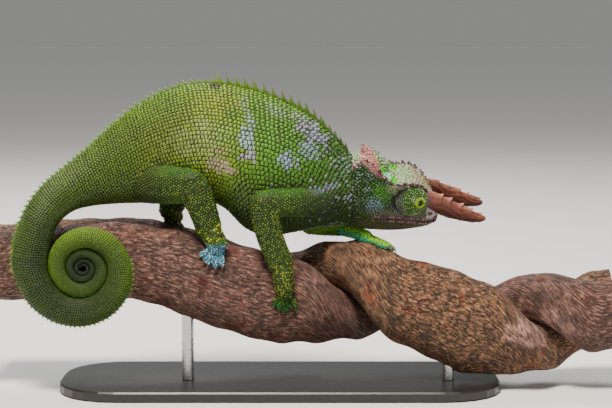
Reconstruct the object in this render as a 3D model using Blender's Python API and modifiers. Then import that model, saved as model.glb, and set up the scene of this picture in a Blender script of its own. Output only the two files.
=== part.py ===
"""A Fischer's chameleon gripping a twisted liana, as a still life-size model on a plain display stand.

Run with Blender 4.5:  blender --background --python part.py
Metres, +Z up. The head points to +X and the animal's right side faces -Y.
The origin is the centre of the underside of the stand's base.
Every size in this file is in millimetres, and MM turns it into metres when a mesh is made.
"""

import math
import random

import bmesh
import bpy
import numpy as np
from mathutils import Matrix, Vector
from mathutils.bvhtree import BVHTree

MM = 0.001
GAP = 0.3  # what pieces that touch keep between them

# Stand
BASE_LENGTH = 220.0
BASE_DEPTH = 78.0
BASE_THICKNESS = 5.0
BASE_CORNER = 30.0
BASE_EDGE = 0.8
ROD_RADIUS = 3.0
ROD_X = (-46.0, 84.0)

# Perch: two woody strands twisted round each other
PERCH_LEFT = -152.0
PERCH_RIGHT = 168.0
STRAND_DEPTH = 12.4  # half thickness of a strand towards the other one
STRAND_STEP = 5.0  # from ring to ring where they twist, and twice that elsewhere
STRAND_SIDES = 16
TWIST_MARGIN = 4.0
TWISTS = ((5.0, 62.0), (100.0, 160.0))  # where the strands change places, half a turn each
# rope axis: x, z, y; half height of the strand that starts in front, and of the other one
PERCH_AXIS = (
    (-155.0, 60.5, 10.5, 18.0, 18.0),
    (-110.0, 64.0, 9.5, 18.0, 18.0),
    (-80.0, 65.0, 7.5, 18.5, 18.5),
    (-50.0, 59.5, 5.0, 21.0, 20.0),
    (-20.0, 50.0, 4.0, 22.5, 20.0),
    (5.0, 45.5, 4.0, 21.5, 20.0),
    (32.0, 48.5, 4.0, 20.0, 21.0),
    (55.0, 46.3, 4.0, 17.0, 22.0),
    (78.0, 38.7, 4.0, 14.5, 24.3),
    (98.0, 31.8, 4.0, 14.5, 24.0),
    (122.0, 31.5, 4.0, 16.0, 20.5),
    (148.0, 35.0, 4.0, 17.0, 19.5),
    (175.0, 39.5, 5.0, 18.0, 18.5),
)

# Trunk, from the neck to the root of the tail:
# back point x, z; belly point x, z; y of the midline; half width; how keeled the back is
TRUNK = (
    (35.5, 120.0, 35.5, 79.0, 0.0, 10.8, 0.5),
    (27.4, 128.6, 30.0, 79.3, 0.0, 11.8, 0.7),
    (16.0, 137.6, 19.0, 79.3, 0.0, 13.4, 0.9),
    (2.6, 144.2, 6.5, 77.8, 0.0, 15.0, 1.0),
    (-12.3, 149.6, -6.0, 76.3, 0.0, 15.8, 1.0),
    (-27.2, 152.6, -17.5, 80.3, 0.0, 15.4, 1.0),
    (-42.1, 153.0, -29.0, 91.0, 0.0, 14.2, 1.0),
    (-57.0, 149.0, -42.5, 94.0, 0.0, 12.6, 0.9),
    (-70.5, 142.0, -57.5, 92.8, 0.0, 11.2, 0.7),
    (-83.5, 132.0, -71.0, 92.8, 0.0, 10.2, 0.45),
    (-95.5, 121.2, -83.9, 92.4, -1.0, 9.4, 0.25),
    (-106.5, 111.8, -94.4, 91.6, -5.0, 8.8, 0.1),
    (-117.0, 103.0, -102.4, 89.6, -12.0, 8.2, 0.0),
    (-125.0, 91.0, -108.6, 83.5, -18.5, 7.8, 0.0),
    (-129.4, 76.6, -111.6, 73.8, -23.0, 7.6, 0.0),
)
# Coiled tail: a spiral whose radius halves with each turn, so that its turns lie against each other
COIL_CENTRE = (-95.8, 63.5)
COIL_RADIUS = 34.0
COIL_Y = -24.0
COIL_TURNS = 3.2
COIL_STATIONS = 12  # in a turn
COIL_CLEAR = 0.6
COIL_FLATTEN = 0.9  # width of the tail across the coil, by its height in it

# Where the trunk is parted: name, first and last station, sides round it, rings a station
TRUNK_NODES = (
    ("neck", 0.0, 1.7, 24, 3.0),
    ("torso", 1.7, 9.0, 24, 2.2),
    ("tail_base", 9.0, 13.0, 20, 2.5),
    ("tail_bend", 13.0, 18.0, 16, 2.0),
    ("tail_loop", 18.0, 27.0, 16, 2.0),
    ("tail_coil", 27.0, 39.0, 12, 1.0),
    ("tail_tip", 39.0, 15.0 + COIL_TURNS * COIL_STATIONS, 10, 1.0),
)

# Head, in its own upright frame: x along the row, w out from the midline, h above the pivot
HEAD_PIVOT_Z = 99.5
HEAD_ROLL = math.radians(25.0)  # the crown leans towards -Y
ROLL_FADES_AT = 4.0  # trunk station where the neck has untwisted
HEAD_BACK = 35.8
SNOUT = 78.9
CROWN = ((35.8, 0, 20.2), (41.5, 0, 22.0), (47, 0, 17.6), (52, 0, 12.6), (58, 0, 9.2),
         (66, 0, 9.0), (72, 0, 4.6), (78.9, 0, -6.5))
CREST = ((35.8, 6.5, 16.0), (41.5, 5.2, 20.4), (47, 7.4, 18.4), (52, 10.3, 12.8), (57, 11.7, 9.6),
         (63, 10.9, 10.0), (68, 9.0, 8.8), (73.5, 6.6, 3.6), (78.9, 2.6, -7.5))
TEMPLE = ((35.8, 9.8, 8.0), (46, 9.2, 9.5), (52, 9.8, 8.0), (58, 10.0, 5.5), (65, 8.4, 3.0),
          (73.5, 6.0, -1.5), (78.9, 2.9, -9.5))
CHEEK = ((35.8, 11.0, -2.0), (46, 12.4, -1.0), (57, 11.2, -3.0), (65, 9.2, -5.0), (73.5, 6.9, -8.5),
         (78.9, 3.1, -12.0))
LIP = ((35.8, 10.6, -9.6), (46, 11.4, -9.8), (57, 10.8, -10.6), (65, 9.6, -12.0), (73.5, 7.2, -14.2),
       (78.9, 2.8, -15.4))
JAW = ((35.8, 7.8, -17.0), (46, 8.2, -18.2), (57, 7.8, -18.8), (65, 6.8, -18.6), (73.5, 4.8, -18.2),
       (78.9, 1.7, -16.8))
THROAT = ((35.8, 0, -20.4), (46, 0, -22.0), (57, 0, -22.3), (65, 0, -21.4), (72.5, 0, -19.8),
          (78.9, 0, -17.4))
HEAD_RINGS = 18
MOUTH_CORNER = 45.0
MOUTH_DEPTH = 0.7
LIP_HALF = 1.0
PEAK_TIP = (40.4, 0.0, 25.6)
PEAK_ROOT = (50.0, 0.0, 13.0)
TUBERCLE = 1.3
TUBERCLE_STEP = 3.1
NOSTRIL = (75.4, -10.7)  # x and h
NOSTRIL_RADIUS = 0.95

# Eye turret
EYE_X = 65.0
EYE_W = 9.2
EYE_H = -0.4
EYE_RADII = (7.7, 6.4, 7.7)  # along x, w and h
GAZE = math.radians(40.0)  # how far forward of sideways the pupil looks
LID_RADIUS = 2.6
LID_PROUD = 0.6
PUPIL_RADIUS = 1.3

# Rostral horns: station x, w, top h, bottom h, half thickness
HORN = (
    (69.5, 5.6, 3.0, -3.0, 1.2),
    (73.5, 6.2, 4.2, -7.5, 1.7),
    (81.0, 6.7, 0.8, -10.6, 1.9),
    (88.0, 7.2, -2.4, -12.2, 1.8),
    (95.0, 7.6, -6.0, -14.0, 1.5),
    (100.0, 7.8, -8.8, -13.6, 1.0),
    (102.6, 7.9, -11.0, -12.6, 0.5),
)
HORN_TEETH = 6
HORN_TOOTH = 1.3

# Legs, right then left: joints (x, y, z) and the section there (half height in the side view, half width)
UPPER_LEGS = {
    "front_right_upper_arm": (((25, -4, 93), 8.2, 6.0), ((12, -13.5, 94.5), 7.0, 6.2), ((-6.5, -20, 95), 7.2, 6.0)),
    "front_left_upper_arm": (((25, 4, 92), 8.2, 6.0), ((22, 13, 86), 6.8, 6.0), ((16, 18.5, 80), 6.6, 5.6)),
    "hind_right_thigh": (((-70, -3, 104), 10.5, 6.0), ((-58, -11, 103), 9.6, 6.6), ((-43, -17.5, 103.5), 8.6, 6.4)),
    "hind_left_thigh": (((-70, 3, 104), 10.5, 6.0), ((-60, 11, 103), 9.4, 6.6), ((-50, 17.5, 101), 8.2, 6.4)),
}
LOWER_LEGS = {
    "front_right_forearm": (((-7.6, -20, 95.2), 7.2, 6.2), ((-5.4, -21, 81), 6.8, 6.0), ((1.2, -22.6, 64.5), 6.2, 5.6)),
    "front_left_forearm": (((15, 19, 80.5), 6.0, 5.8), ((24, 18, 79.0), 4.8, 5.2), ((34, 14.5, 78.6), 4.2, 4.8)),
    "hind_right_shank": (((-42, -17.6, 102.4), 8.2, 6.6), ((-37.4, -17, 91), 7.2, 6.0), ((-34.6, -15.5, 81.5), 6.6, 5.6)),
    "hind_left_shank": (((-50, 17.6, 100), 8.0, 6.6), ((-54, 19, 93), 7.0, 6.0), ((-56.5, 19, 87.5), 6.2, 5.6)),
}
LEG_SIDES = 12
LEG_RINGS = 6
ROUND_END = ((0.55, 0.80), (0.88, 0.42))  # how far past its end a limb has sections, and their size

# Feet: where the palm meets the bark, and each bundle of fused toes: heading along the bark, count, length
FEET = {
    "front_right_hand": ("front_right_forearm", (2.6, -21, 53.5), 5.2,
                         (((0.1, 0.1, -1.0), 3, 11.0), ((-0.4, -0.1, -1.0), 2, 9.5))),
    "front_left_hand": ("front_left_forearm", (42.5, 11.5, 74), 4.8,
                        (((1.0, -0.05, -0.25), 3, 13.5), ((0.35, -0.95, -0.1), 2, 9.5))),
    "hind_right_foot": ("hind_right_shank", (-31.6, -14, 71), 5.4,
                        (((-0.1, -0.3, -1.0), 3, 9.5), ((-0.95, -0.4, -0.75), 2, 8.5))),
    "hind_left_foot": ("hind_left_shank", (-56, 20.5, 80), 5.2,
                       (((0.4, 0.9, -0.5), 3, 10.5), ((-0.5, 0.9, -0.5), 2, 10.0))),
}
TOE_RADIUS = 1.9
TOE_TAPER = (1.15, 1.15, 1.08, 1.0, 0.92, 0.72)  # along a toe, by its radius
TOE_SIDES = 6
TOE_RINGS = 4
TOE_STEPS = 5
TOE_FAN = math.radians(5.0)  # between neighbouring toes of a bundle
TOE_SPREAD = 1.7  # between their roots
CLAW_LENGTH = 1.8
CLAW_RADIUS = 0.9

# Crest of conical scales: first and last trunk station, spacing, height
CREST_RUNS = (
    (0.5, 2.0, 3.6, 3.2),
    (2.0, 5.2, 4.9, 4.5),
    (5.2, 9.0, 3.6, 2.7),
    (9.0, 15.0, 3.6, 2.6),
    (15.0, 19.2, 3.3, 2.0),
)
SPINE_SUNK = 1.0
SPINE_SLIM = 0.4  # radius of a spine's foot, by its height
SPINE_LEAN = 0.25
SPINE_SIDES = 5
SPINE_SEED = 7

MATERIALS = {
    "skin": ((0.16, 0.33, 0.05), 0.55, 0.0),
    "casque": ((0.40, 0.38, 0.26), 0.6, 0.0),
    "horn": ((0.46, 0.24, 0.16), 0.6, 0.0),
    "eye_turret": ((0.13, 0.36, 0.05), 0.5, 0.0),
    "bark": ((0.23, 0.13, 0.08), 0.9, 0.0),
    "base_lacquer": ((0.03, 0.03, 0.03), 0.35, 0.0),
    "rod_steel": ((0.55, 0.55, 0.56), 0.3, 1.0),
}


def clear_scene():
    """Remove every object, so that the model starts from nothing."""
    for obj in list(bpy.data.objects):
        bpy.data.objects.remove(obj)


def new_collection(name):
    """A collection of that name, linked to the scene."""
    collection = bpy.data.collections.new(name)
    bpy.context.scene.collection.children.link(collection)
    return collection


def finish(name):
    """The material of that name, made on first use."""
    found = bpy.data.materials.get(name)
    if found:
        return found
    colour, roughness, metallic = MATERIALS[name]
    made = bpy.data.materials.new(name)
    made.use_nodes = True
    shader = made.node_tree.nodes["Principled BSDF"]
    shader.inputs["Base Color"].default_value = (*colour, 1.0)
    shader.inputs["Roughness"].default_value = roughness
    shader.inputs["Metallic"].default_value = metallic
    made.diffuse_color = (*colour, 1.0)
    return made


def spline(rows, t):
    """The Catmull-Rom value at t, from 0 to the last row's number, through rows of equal length."""
    rows = np.asarray(rows, float)
    last = len(rows) - 1
    i = int(min(max(t, 0), last - 1e-9))
    u = t - i
    before, here = rows[max(i - 1, 0)], rows[i]
    there, after = rows[i + 1], rows[min(i + 2, last)]
    return 0.5 * (
        2 * here
        + (there - before) * u
        + (2 * before - 5 * here + 4 * there - after) * u**2
        + (3 * here - before - 3 * there + after) * u**3
    )


def spline_at_x(rows, x):
    """The value of the spline through rows where its first column is x, which has to grow along it."""
    low, high = 0.0, len(rows) - 1.0
    for _ in range(40):
        middle = (low + high) / 2
        if spline(rows, middle)[0] < x:
            low = middle
        else:
            high = middle
    return spline(rows, low)


def smoothstep(low, high, value):
    """0 below low, 1 above high, and a smooth rise between."""
    t = min(max((value - low) / (high - low), 0.0), 1.0)
    return t * t * (3 - 2 * t)


def add_object(name, mesh, collection):
    """A mesh object with no transform, in that collection."""
    obj = bpy.data.objects.new(name, mesh)
    collection.objects.link(obj)
    return obj


def loft(name, rings, collection):
    """A closed solid through rings of points in mm, each ring with the same count, with flat end caps."""
    count = len(rings[0])
    points = [Vector(p) * MM for ring in rings for p in ring]
    faces = [tuple(reversed(range(count)))]
    for r in range(len(rings) - 1):
        for k in range(count):
            here, after = r * count + k, r * count + (k + 1) % count
            faces.append((here, after, after + count, here + count))
    faces.append(tuple(range((len(rings) - 1) * count, len(rings) * count)))
    mesh = bpy.data.meshes.new(name)
    mesh.from_pydata(points, [], faces)
    face_out(mesh)
    return add_object(name, mesh, collection)


def face_out(mesh):
    """Turn every face of a closed mesh outwards."""
    work = bmesh.new()
    work.from_mesh(mesh)
    bmesh.ops.recalc_face_normals(work, faces=work.faces)
    if work.calc_volume(signed=True) < 0:
        bmesh.ops.reverse_faces(work, faces=work.faces)
    work.to_mesh(mesh)
    work.free()


def primitive(name, collection, make, place, **sizes):
    """A bmesh primitive put in place by a matrix in mm."""
    work = bmesh.new()
    make(work, **sizes)
    bmesh.ops.transform(work, matrix=Matrix.Scale(MM, 4) @ place, verts=work.verts)
    mesh = bpy.data.meshes.new(name)
    work.to_mesh(mesh)
    work.free()
    face_out(mesh)
    return add_object(name, mesh, collection)


def aimed(place, direction):
    """A matrix in mm that puts a primitive's +Z along direction, with its origin at place."""
    turn = Vector(direction).to_track_quat("Z", "Y").to_matrix().to_4x4()
    return Matrix.Translation(Vector(place)) @ turn


def cone(name, foot, direction, radius, height, sides, collection, tip=0.0):
    """A closed cone, or a frustum with that tip radius, standing on foot."""
    centre = Vector(foot) + Vector(direction).normalized() * height / 2
    return primitive(name, collection, bmesh.ops.create_cone, aimed(centre, direction), cap_ends=True,
                     segments=sides, radius1=radius, radius2=tip, depth=height)


def ball(name, centre, radii, collection, rings=8, segments=12, turn=None):
    """A closed ellipsoid with those half sizes."""
    place = Matrix.Translation(Vector(centre)) @ (turn or Matrix.Identity(4)) @ Matrix.Diagonal((*radii, 1.0))
    return primitive(name, collection, bmesh.ops.create_uvsphere, place,
                     u_segments=segments, v_segments=rings, radius=1.0)


def apply_modifiers(obj):
    """Make the evaluated mesh the object's own."""
    bpy.context.view_layer.update()
    graph = bpy.context.evaluated_depsgraph_get()
    old = obj.data
    obj.data = bpy.data.meshes.new_from_object(obj.evaluated_get(graph))
    obj.data.name = obj.name
    obj.modifiers.clear()
    bpy.data.meshes.remove(old)


def keep_largest(obj):
    """Leave only the closed surface that holds most, which fills sealed hollows and drops scraps."""
    work = bmesh.new()
    work.from_mesh(obj.data)
    left, shells = set(work.faces), []
    while left:
        shell, edge_of = set(), [left.pop()]
        while edge_of:
            face = edge_of.pop()
            shell.add(face)
            for edge in face.edges:
                for other in edge.link_faces:
                    if other in left:
                        left.remove(other)
                        edge_of.append(other)
        shells.append(shell)

    def holds(shell):
        total = 0.0
        for face in shell:
            corners = [v.co for v in face.verts]
            for i in range(1, len(corners) - 1):
                total += corners[0].dot(corners[i].cross(corners[i + 1])) / 6
        return total

    best = max(shells, key=holds)
    dropped = [f for shell in shells if shell is not best for f in shell]
    if dropped:
        bmesh.ops.delete(work, geom=dropped, context="FACES")
    work.to_mesh(obj.data)
    work.free()


def fuse(obj, pieces, solver="MANIFOLD"):
    """Join closed pieces to obj with one Boolean union, and remove them."""
    group = bpy.data.collections.new(obj.name + "_pieces")
    bpy.context.scene.collection.children.link(group)
    for piece in pieces:
        for owner in list(piece.users_collection):
            owner.objects.unlink(piece)
        group.objects.link(piece)
    union = obj.modifiers.new("union", "BOOLEAN")
    union.operation = "UNION"
    union.operand_type = "COLLECTION"
    union.collection = group
    union.solver = solver
    apply_modifiers(obj)
    for piece in list(group.objects):
        bpy.data.objects.remove(piece)
    bpy.data.collections.remove(group)
    keep_largest(obj)
    return obj


def cut(obj, cutter, solver="MANIFOLD"):
    """Cut the closed cutter out of obj, and remove it."""
    difference = obj.modifiers.new("cut", "BOOLEAN")
    difference.operation = "DIFFERENCE"
    difference.object = cutter
    difference.solver = solver
    apply_modifiers(obj)
    bpy.data.objects.remove(cutter)
    return obj


def fit(obj, *neighbours, gap=GAP):
    """Trim obj so that it meets each neighbour face to face, with the gap that touching pieces keep."""
    for neighbour in neighbours:
        mesh = neighbour.data.copy()
        work = bmesh.new()
        work.from_mesh(mesh)
        work.normal_update()
        for vertex in work.verts:
            vertex.co += vertex.normal * vertex.calc_shell_factor() * gap * MM
        work.to_mesh(mesh)
        work.free()
        cut(obj, add_object("grown_" + neighbour.name, mesh, bpy.context.scene.collection))
    keep_largest(obj)
    return obj


def coil_station(turns):
    """The trunk station of the coiled tail that many turns in."""
    angle = math.pi + 2 * math.pi * turns
    outer = COIL_RADIUS * 2 ** (-turns)
    inner = outer / 2 + COIL_CLEAR / 2
    outer -= COIL_CLEAR / 2
    along = np.array((math.cos(angle), math.sin(angle)))
    back = np.array(COIL_CENTRE) + outer * along
    belly = np.array(COIL_CENTRE) + inner * along
    return (*back, *belly, COIL_Y, COIL_FLATTEN * (outer - inner) / 2, 0.0)


def trunk_stations():
    """Every station from the neck to the tip of the tail."""
    count = int(COIL_TURNS * COIL_STATIONS) + 2
    return list(TRUNK) + [coil_station(i / COIL_STATIONS) for i in range(count)]


STATIONS = trunk_stations()


def trunk_frame(t):
    """Centre, half height vector, unit side vector, half width and keel of the trunk at station t."""
    back_x, back_z, belly_x, belly_z, y, width, keel = spline(STATIONS, t)
    centre = Vector(((back_x + belly_x) / 2, y, (back_z + belly_z) / 2))
    up = Vector(((back_x - belly_x) / 2, 0, (back_z - belly_z) / 2))
    side = Vector((0, 1, 0))
    roll = HEAD_ROLL * (1 - smoothstep(0.0, ROLL_FADES_AT, t))
    turn = Matrix.Rotation(roll, 3, "X")
    return centre, turn @ up, turn @ side, width, keel


def trunk_ring(t, sides, scale=1.0):
    """One section of the trunk: an oval, drawn in towards the back where it is keeled."""
    centre, up, side, width, keel = trunk_frame(t)
    ring = []
    for k in range(sides):
        angle = 2 * math.pi * k / sides
        rise = math.cos(angle)
        narrow = 1 - keel * 0.44 * smoothstep(-0.15, 1.0, rise) + keel * 0.05 * max(0.0, -rise)
        ring.append(centre + (up * rise + side * width * math.sin(angle) * narrow) * scale)
    return ring


def station_after(t, distance):
    """The station whose centre lies that far along from t."""
    start, moved = trunk_frame(t)[0], t
    step = 0.002 if distance > 0 else -0.002
    while (trunk_frame(moved)[0] - start).length < abs(distance):
        moved += step
    return moved


def build_trunk(collection):
    """Neck, torso and the lengths of the tail, as {name: object}."""
    nodes = {}
    for name, first, last, sides, density in TRUNK_NODES:
        start = first if first == 0.0 else station_after(first, GAP / 2)
        is_tip = name == "tail_tip"
        end = last if is_tip else station_after(last, -GAP / 2)
        steps = max(3, round((last - first) * density))
        stations = [start + (end - start) * i / steps for i in range(steps + 1)]
        rings = [trunk_ring(t, sides) for t in stations]
        if is_tip:
            rings.append(trunk_ring(end + 0.25, sides, 0.55))
        nodes[name] = loft(name, rings, collection)
    return nodes


def add_crest(nodes, collection):
    """Fuse the row of conical scales to each length of the trunk that carries them."""
    draw = random.Random(SPINE_SEED)
    rows = {name: [] for name in nodes}
    for first, last, spacing, height in CREST_RUNS:
        t = first
        while t < last:
            centre, up, _, _, _ = trunk_frame(t)
            ahead = trunk_frame(t + 0.05)[0] - centre
            tall = height * draw.uniform(0.86, 1.12)
            direction = up.normalized() + ahead.normalized() * SPINE_LEAN
            foot = centre + up - direction.normalized() * SPINE_SUNK
            owner = next(n for n, a, b, _, _ in TRUNK_NODES if a <= t < b)
            edges = [e for n, a, b, _, _ in TRUNK_NODES if n == owner for e in (a, b)]
            clear = min((trunk_frame(e)[0] + trunk_frame(e)[1] - foot).length for e in edges)
            if clear > tall * SPINE_SLIM + 1.0:
                rows[owner].append(cone("spine", foot, direction, tall * SPINE_SLIM,
                                        tall + SPINE_SUNK, SPINE_SIDES, collection))
            t = back_after(t, spacing * draw.uniform(0.9, 1.1))
    for name, pieces in rows.items():
        if pieces:
            fuse(nodes[name], pieces)


def back_after(t, distance):
    """The station whose back point lies that far along the back from t."""
    def back(station):
        centre, up, _, _, _ = trunk_frame(station)
        return centre + up

    start, moved = back(t), t
    while (back(moved) - start).length < distance:
        moved += 0.01
    return moved


def head_point(x, w, h):
    """A point of the head's upright frame, leaned with the head."""
    turn = Matrix.Rotation(HEAD_ROLL, 3, "X")
    return Vector((x, 0, HEAD_PIVOT_Z)) + turn @ Vector((0, w, h))


def head_direction(x, w, h):
    """A direction of the head's upright frame, leaned with the head."""
    return Matrix.Rotation(HEAD_ROLL, 3, "X") @ Vector((x, w, h))


def head_half(x):
    """(w, h) pairs from the crown down one side to the throat, at x."""
    crown, crest, temple, cheek, lip, jaw, throat = (
        spline_at_x(rail, x)[1:] for rail in (CROWN, CREST, TEMPLE, CHEEK, LIP, JAW, THROAT)
    )
    open_by = smoothstep(MOUTH_CORNER - 1.5, MOUTH_CORNER + 2.5, x)
    half_lip = LIP_HALF * (0.5 + 0.5 * open_by)
    upper = lip + np.array((0.25 * open_by, half_lip))
    mouth = lip - np.array((MOUTH_DEPTH * open_by, 0.0))
    lower = lip + np.array((0.05 * open_by, -half_lip))
    top = [spline((crown, crest, temple, cheek, upper), t / 2) for t in range(0, 9)]
    top[1] = (crown + crest) / 2 - np.array((0, 0.5)) * smoothstep(50, 58, x)
    bottom = [spline((lower, jaw, throat), t / 2) for t in range(0, 5)]
    return [*top, mouth, *bottom]


def build_head(collection):
    """The head with its casque, crests, mouth line and eye sockets."""
    rings = []
    for i in range(HEAD_RINGS):
        x = HEAD_BACK + (SNOUT - HEAD_BACK) * (1 - (1 - i / (HEAD_RINGS - 1)) ** 1.25)
        half = head_half(x)
        right = [head_point(x, -w, h) for w, h in half]
        left = [head_point(x, w, h) for w, h in half[-2:0:-1]]
        rings.append(right + left)
    tip = [head_point(SNOUT + 0.9, 0, -12.2)] * len(rings[-1])
    rings.append([p.lerp(q, 0.45) for p, q in zip(rings[-1], tip)])
    head = loft("head", rings, collection)
    root, peak = head_point(*PEAK_ROOT), head_point(*PEAK_TIP)
    pieces = [limb("peak", ((root, 5.0, 4.0), (root.lerp(peak, 0.6), 3.4, 2.6), (peak, 1.3, 1.0)),
                   8, 5, collection)]
    for side in (-1, 1):
        for x in np.arange(43.0, 71.0, TUBERCLE_STEP):
            _, w, h = spline_at_x(CREST, x)
            foot = head_point(x, side * (w - 0.6), h - 0.6)
            direction = head_direction(0, side * 0.8, 0.7)
            pieces.append(cone("tubercle", foot, direction, TUBERCLE, TUBERCLE + 0.5, 5, collection))
    fuse(head, pieces)
    x, h = NOSTRIL
    for side in (-1, 1):
        start, outward = head_point(x, 0, h), head_direction(0, side, 0)
        place = start + outward * surface_along(head, start, outward)
        cut(head, ball("nostril", place, (NOSTRIL_RADIUS,) * 3, bpy.context.scene.collection, 6, 8))
    return head


def gaze_direction(side):
    """The way that the eye of that side looks."""
    return head_direction(math.sin(GAZE), side * math.cos(GAZE), 0.0).normalized()


def build_eyes(head, collection):
    """Both eye turrets, and the sockets that they sit in."""
    nodes = {}
    lean = Matrix.Rotation(HEAD_ROLL, 4, "X")
    for name, side in (("eye_right", -1), ("eye_left", 1)):
        centre = head_point(EYE_X, side * EYE_W, EYE_H)
        grown = [r + GAP for r in EYE_RADII]
        cut(head, ball("socket", centre, grown, bpy.context.scene.collection, 10, 16, lean))
        turret = ball(name, centre, EYE_RADII, collection, 10, 16, lean)
        gaze = gaze_direction(side)
        reach = surface_along(turret, centre, gaze)
        lid = cone("lid", centre + gaze * (reach - 1.6), gaze, LID_RADIUS + 0.9, 1.6 + LID_PROUD, 12,
                   collection, LID_RADIUS)
        fuse(turret, [lid])
        cut(turret, ball("pupil_recess", centre + gaze * (reach + LID_PROUD + 0.5),
                         (PUPIL_RADIUS + 0.2,) * 3, bpy.context.scene.collection, 6, 10))
        nodes[name] = turret
    keep_largest(head)
    return nodes


def surface_along(obj, start, direction):
    """How far the surface of obj lies from start along direction, in mm."""
    tree = BVHTree.FromPolygons([v.co / MM for v in obj.data.vertices],
                                [tuple(p.vertices) for p in obj.data.polygons])
    return tree.ray_cast(start, direction)[3]


def build_horns(head, eyes, collection):
    """The two flattened, saw-edged rostral horns, each seated on its side of the snout."""
    nodes = {}
    per_tooth = 3
    first, last = HORN[1][0], HORN[-1][0]
    for name, side in (("horn_right", -1), ("horn_left", 1)):
        rings = []
        stations = [HORN[0][0]] + [
            first + (last - first) * i / (HORN_TEETH * per_tooth)
            for i in range(HORN_TEETH * per_tooth + 1)
        ]
        for i, x in enumerate(stations):
            _, w, top, bottom, thick = spline_at_x(HORN, x)
            tooth = (0.0, 0.55, 1.0)[(i + 1) % per_tooth] * HORN_TOOTH * smoothstep(first, first + 5, x)
            tooth *= min(1.0, (last - x) / 4)
            top += tooth
            bottom -= 0.4 * tooth
            middle, tall = (top + bottom) / 2, (top - bottom) / 2
            ring = []
            for k in range(8):
                angle = 2 * math.pi * k / 8
                ring.append(head_point(x + 0.5 * tooth * max(0.0, math.cos(angle)),
                                       side * (w + thick * math.sin(angle)),
                                       middle + tall * math.cos(angle)))
            rings.append(ring)
        nodes[name] = fit(loft(name, rings, collection), head, *eyes.values())
    return nodes


def limb(name, joints, sides, rings, collection):
    """A tapered oval tube through (place, half height, half width) joints, with rounded ends."""
    rows = [(*place, tall, wide) for place, tall, wide in joints]
    last = len(rows) - 1
    stations = [last * i / (rings - 1) for i in range(rings)]
    sections = []
    for t in stations:
        here = spline(rows, t)
        along = Vector(spline(rows, min(t + 0.02, last))[:3] - spline(rows, max(t - 0.02, 0))[:3])
        sections.append((Vector(here[:3]), along.normalized(), here[3], here[4]))
    for end, way in ((0, -1), (-1, 1)):
        centre, along, tall, wide = sections[end]
        reach = (tall + wide) / 2
        extra = [(centre + along * way * reach * f, along, tall * s, wide * s) for f, s in ROUND_END]
        sections = list(reversed(extra)) + sections if way < 0 else sections + extra
    made = []
    for centre, along, tall, wide in sections:
        across = Vector((0, 1, 0)) - along * along.y
        if across.length < 0.3:
            across = Vector((0, 0, 1)) - along * along.z
        across.normalize()
        upward = along.cross(across)
        made.append([centre + upward * tall * math.cos(a) + across * wide * math.sin(a)
                     for a in (2 * math.pi * k / sides for k in range(sides))])
    return loft(name, made, collection)


def build_legs(body, strands, collection):
    """Upper and lower legs: the lower ones are whole, and the upper ones are trimmed to them and the trunk."""
    nodes = {}
    for (upper, upper_joints), (lower, lower_joints) in zip(UPPER_LEGS.items(), LOWER_LEGS.items()):
        shin = limb(lower, lower_joints, LEG_SIDES, LEG_RINGS, collection)
        nodes[lower] = fit(shin, *body, *strands)
        thigh = limb(upper, upper_joints, LEG_SIDES, LEG_RINGS, collection)
        nodes[upper] = fit(thigh, *body, nodes[lower])
    return nodes


def bark_walk(tree, start, heading, length, lift):
    """Points that follow the bark from start along heading, held off it by lift."""
    place, normal, _, _ = tree.find_nearest(Vector(start))
    points = [place + normal * lift]
    way = Vector(heading).normalized()
    for _ in range(TOE_STEPS):
        way = (way - normal * way.dot(normal)).normalized()
        place, normal, _, _ = tree.find_nearest(place + way * length / TOE_STEPS + normal * 0.2)
        points.append(place + normal * lift)
    return points, way, normal


def build_feet(legs, strands, head, collection):
    """Each foot: a palm and two opposed bundles of fused, clawed toes laid along the bark."""
    points, faces = [], []
    for strand in strands:
        faces += [tuple(v + len(points) for v in p.vertices) for p in strand.data.polygons]
        points += [v.co / MM for v in strand.data.vertices]
    tree = BVHTree.FromPolygons(points, faces)
    nodes = {}
    for name, (leg, palm, palm_radius, bundles) in FEET.items():
        joint, tall, wide = LOWER_LEGS[leg][-1]
        place, normal, _, _ = tree.find_nearest(Vector(palm))
        heel = place + normal * palm_radius * 0.72
        foot = limb(name, ((Vector(joint), tall * 0.95, wide * 0.95),
                           (Vector(joint).lerp(heel, 0.55) + normal * 0.6, palm_radius, palm_radius),
                           (heel, palm_radius, palm_radius * 0.85)), 10, 5, collection)
        pieces = []
        for heading, count, length in bundles:
            for i in range(count):
                off = i - (count - 1) / 2
                across = normal.cross(Vector(heading)).normalized()
                way = Matrix.Rotation(-off * TOE_FAN, 3, normal) @ Vector(heading)
                reach = length * (1 - 0.08 * abs(off))
                path, end, up = bark_walk(tree, place - across * off * TOE_SPREAD, way, reach, TOE_RADIUS * 0.8)
                joints = [(p, TOE_RADIUS * f, TOE_RADIUS * f) for p, f in zip(path, TOE_TAPER)]
                pieces.append(limb("toe", joints, TOE_SIDES, TOE_RINGS, collection))
                claw_way = end - up * 0.25
                pieces.append(cone("claw", path[-1] + up * 0.3, claw_way, CLAW_RADIUS,
                                   CLAW_LENGTH + TOE_RADIUS, 5, collection, 0.12))
        fuse(foot, pieces)
        nodes[name] = fit(foot, legs[leg], head, *strands)
    return nodes


def perch_twist(x):
    """How many half turns the strands have made at x."""
    return sum(smoothstep(a, b, x) for a, b in TWISTS)


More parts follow.
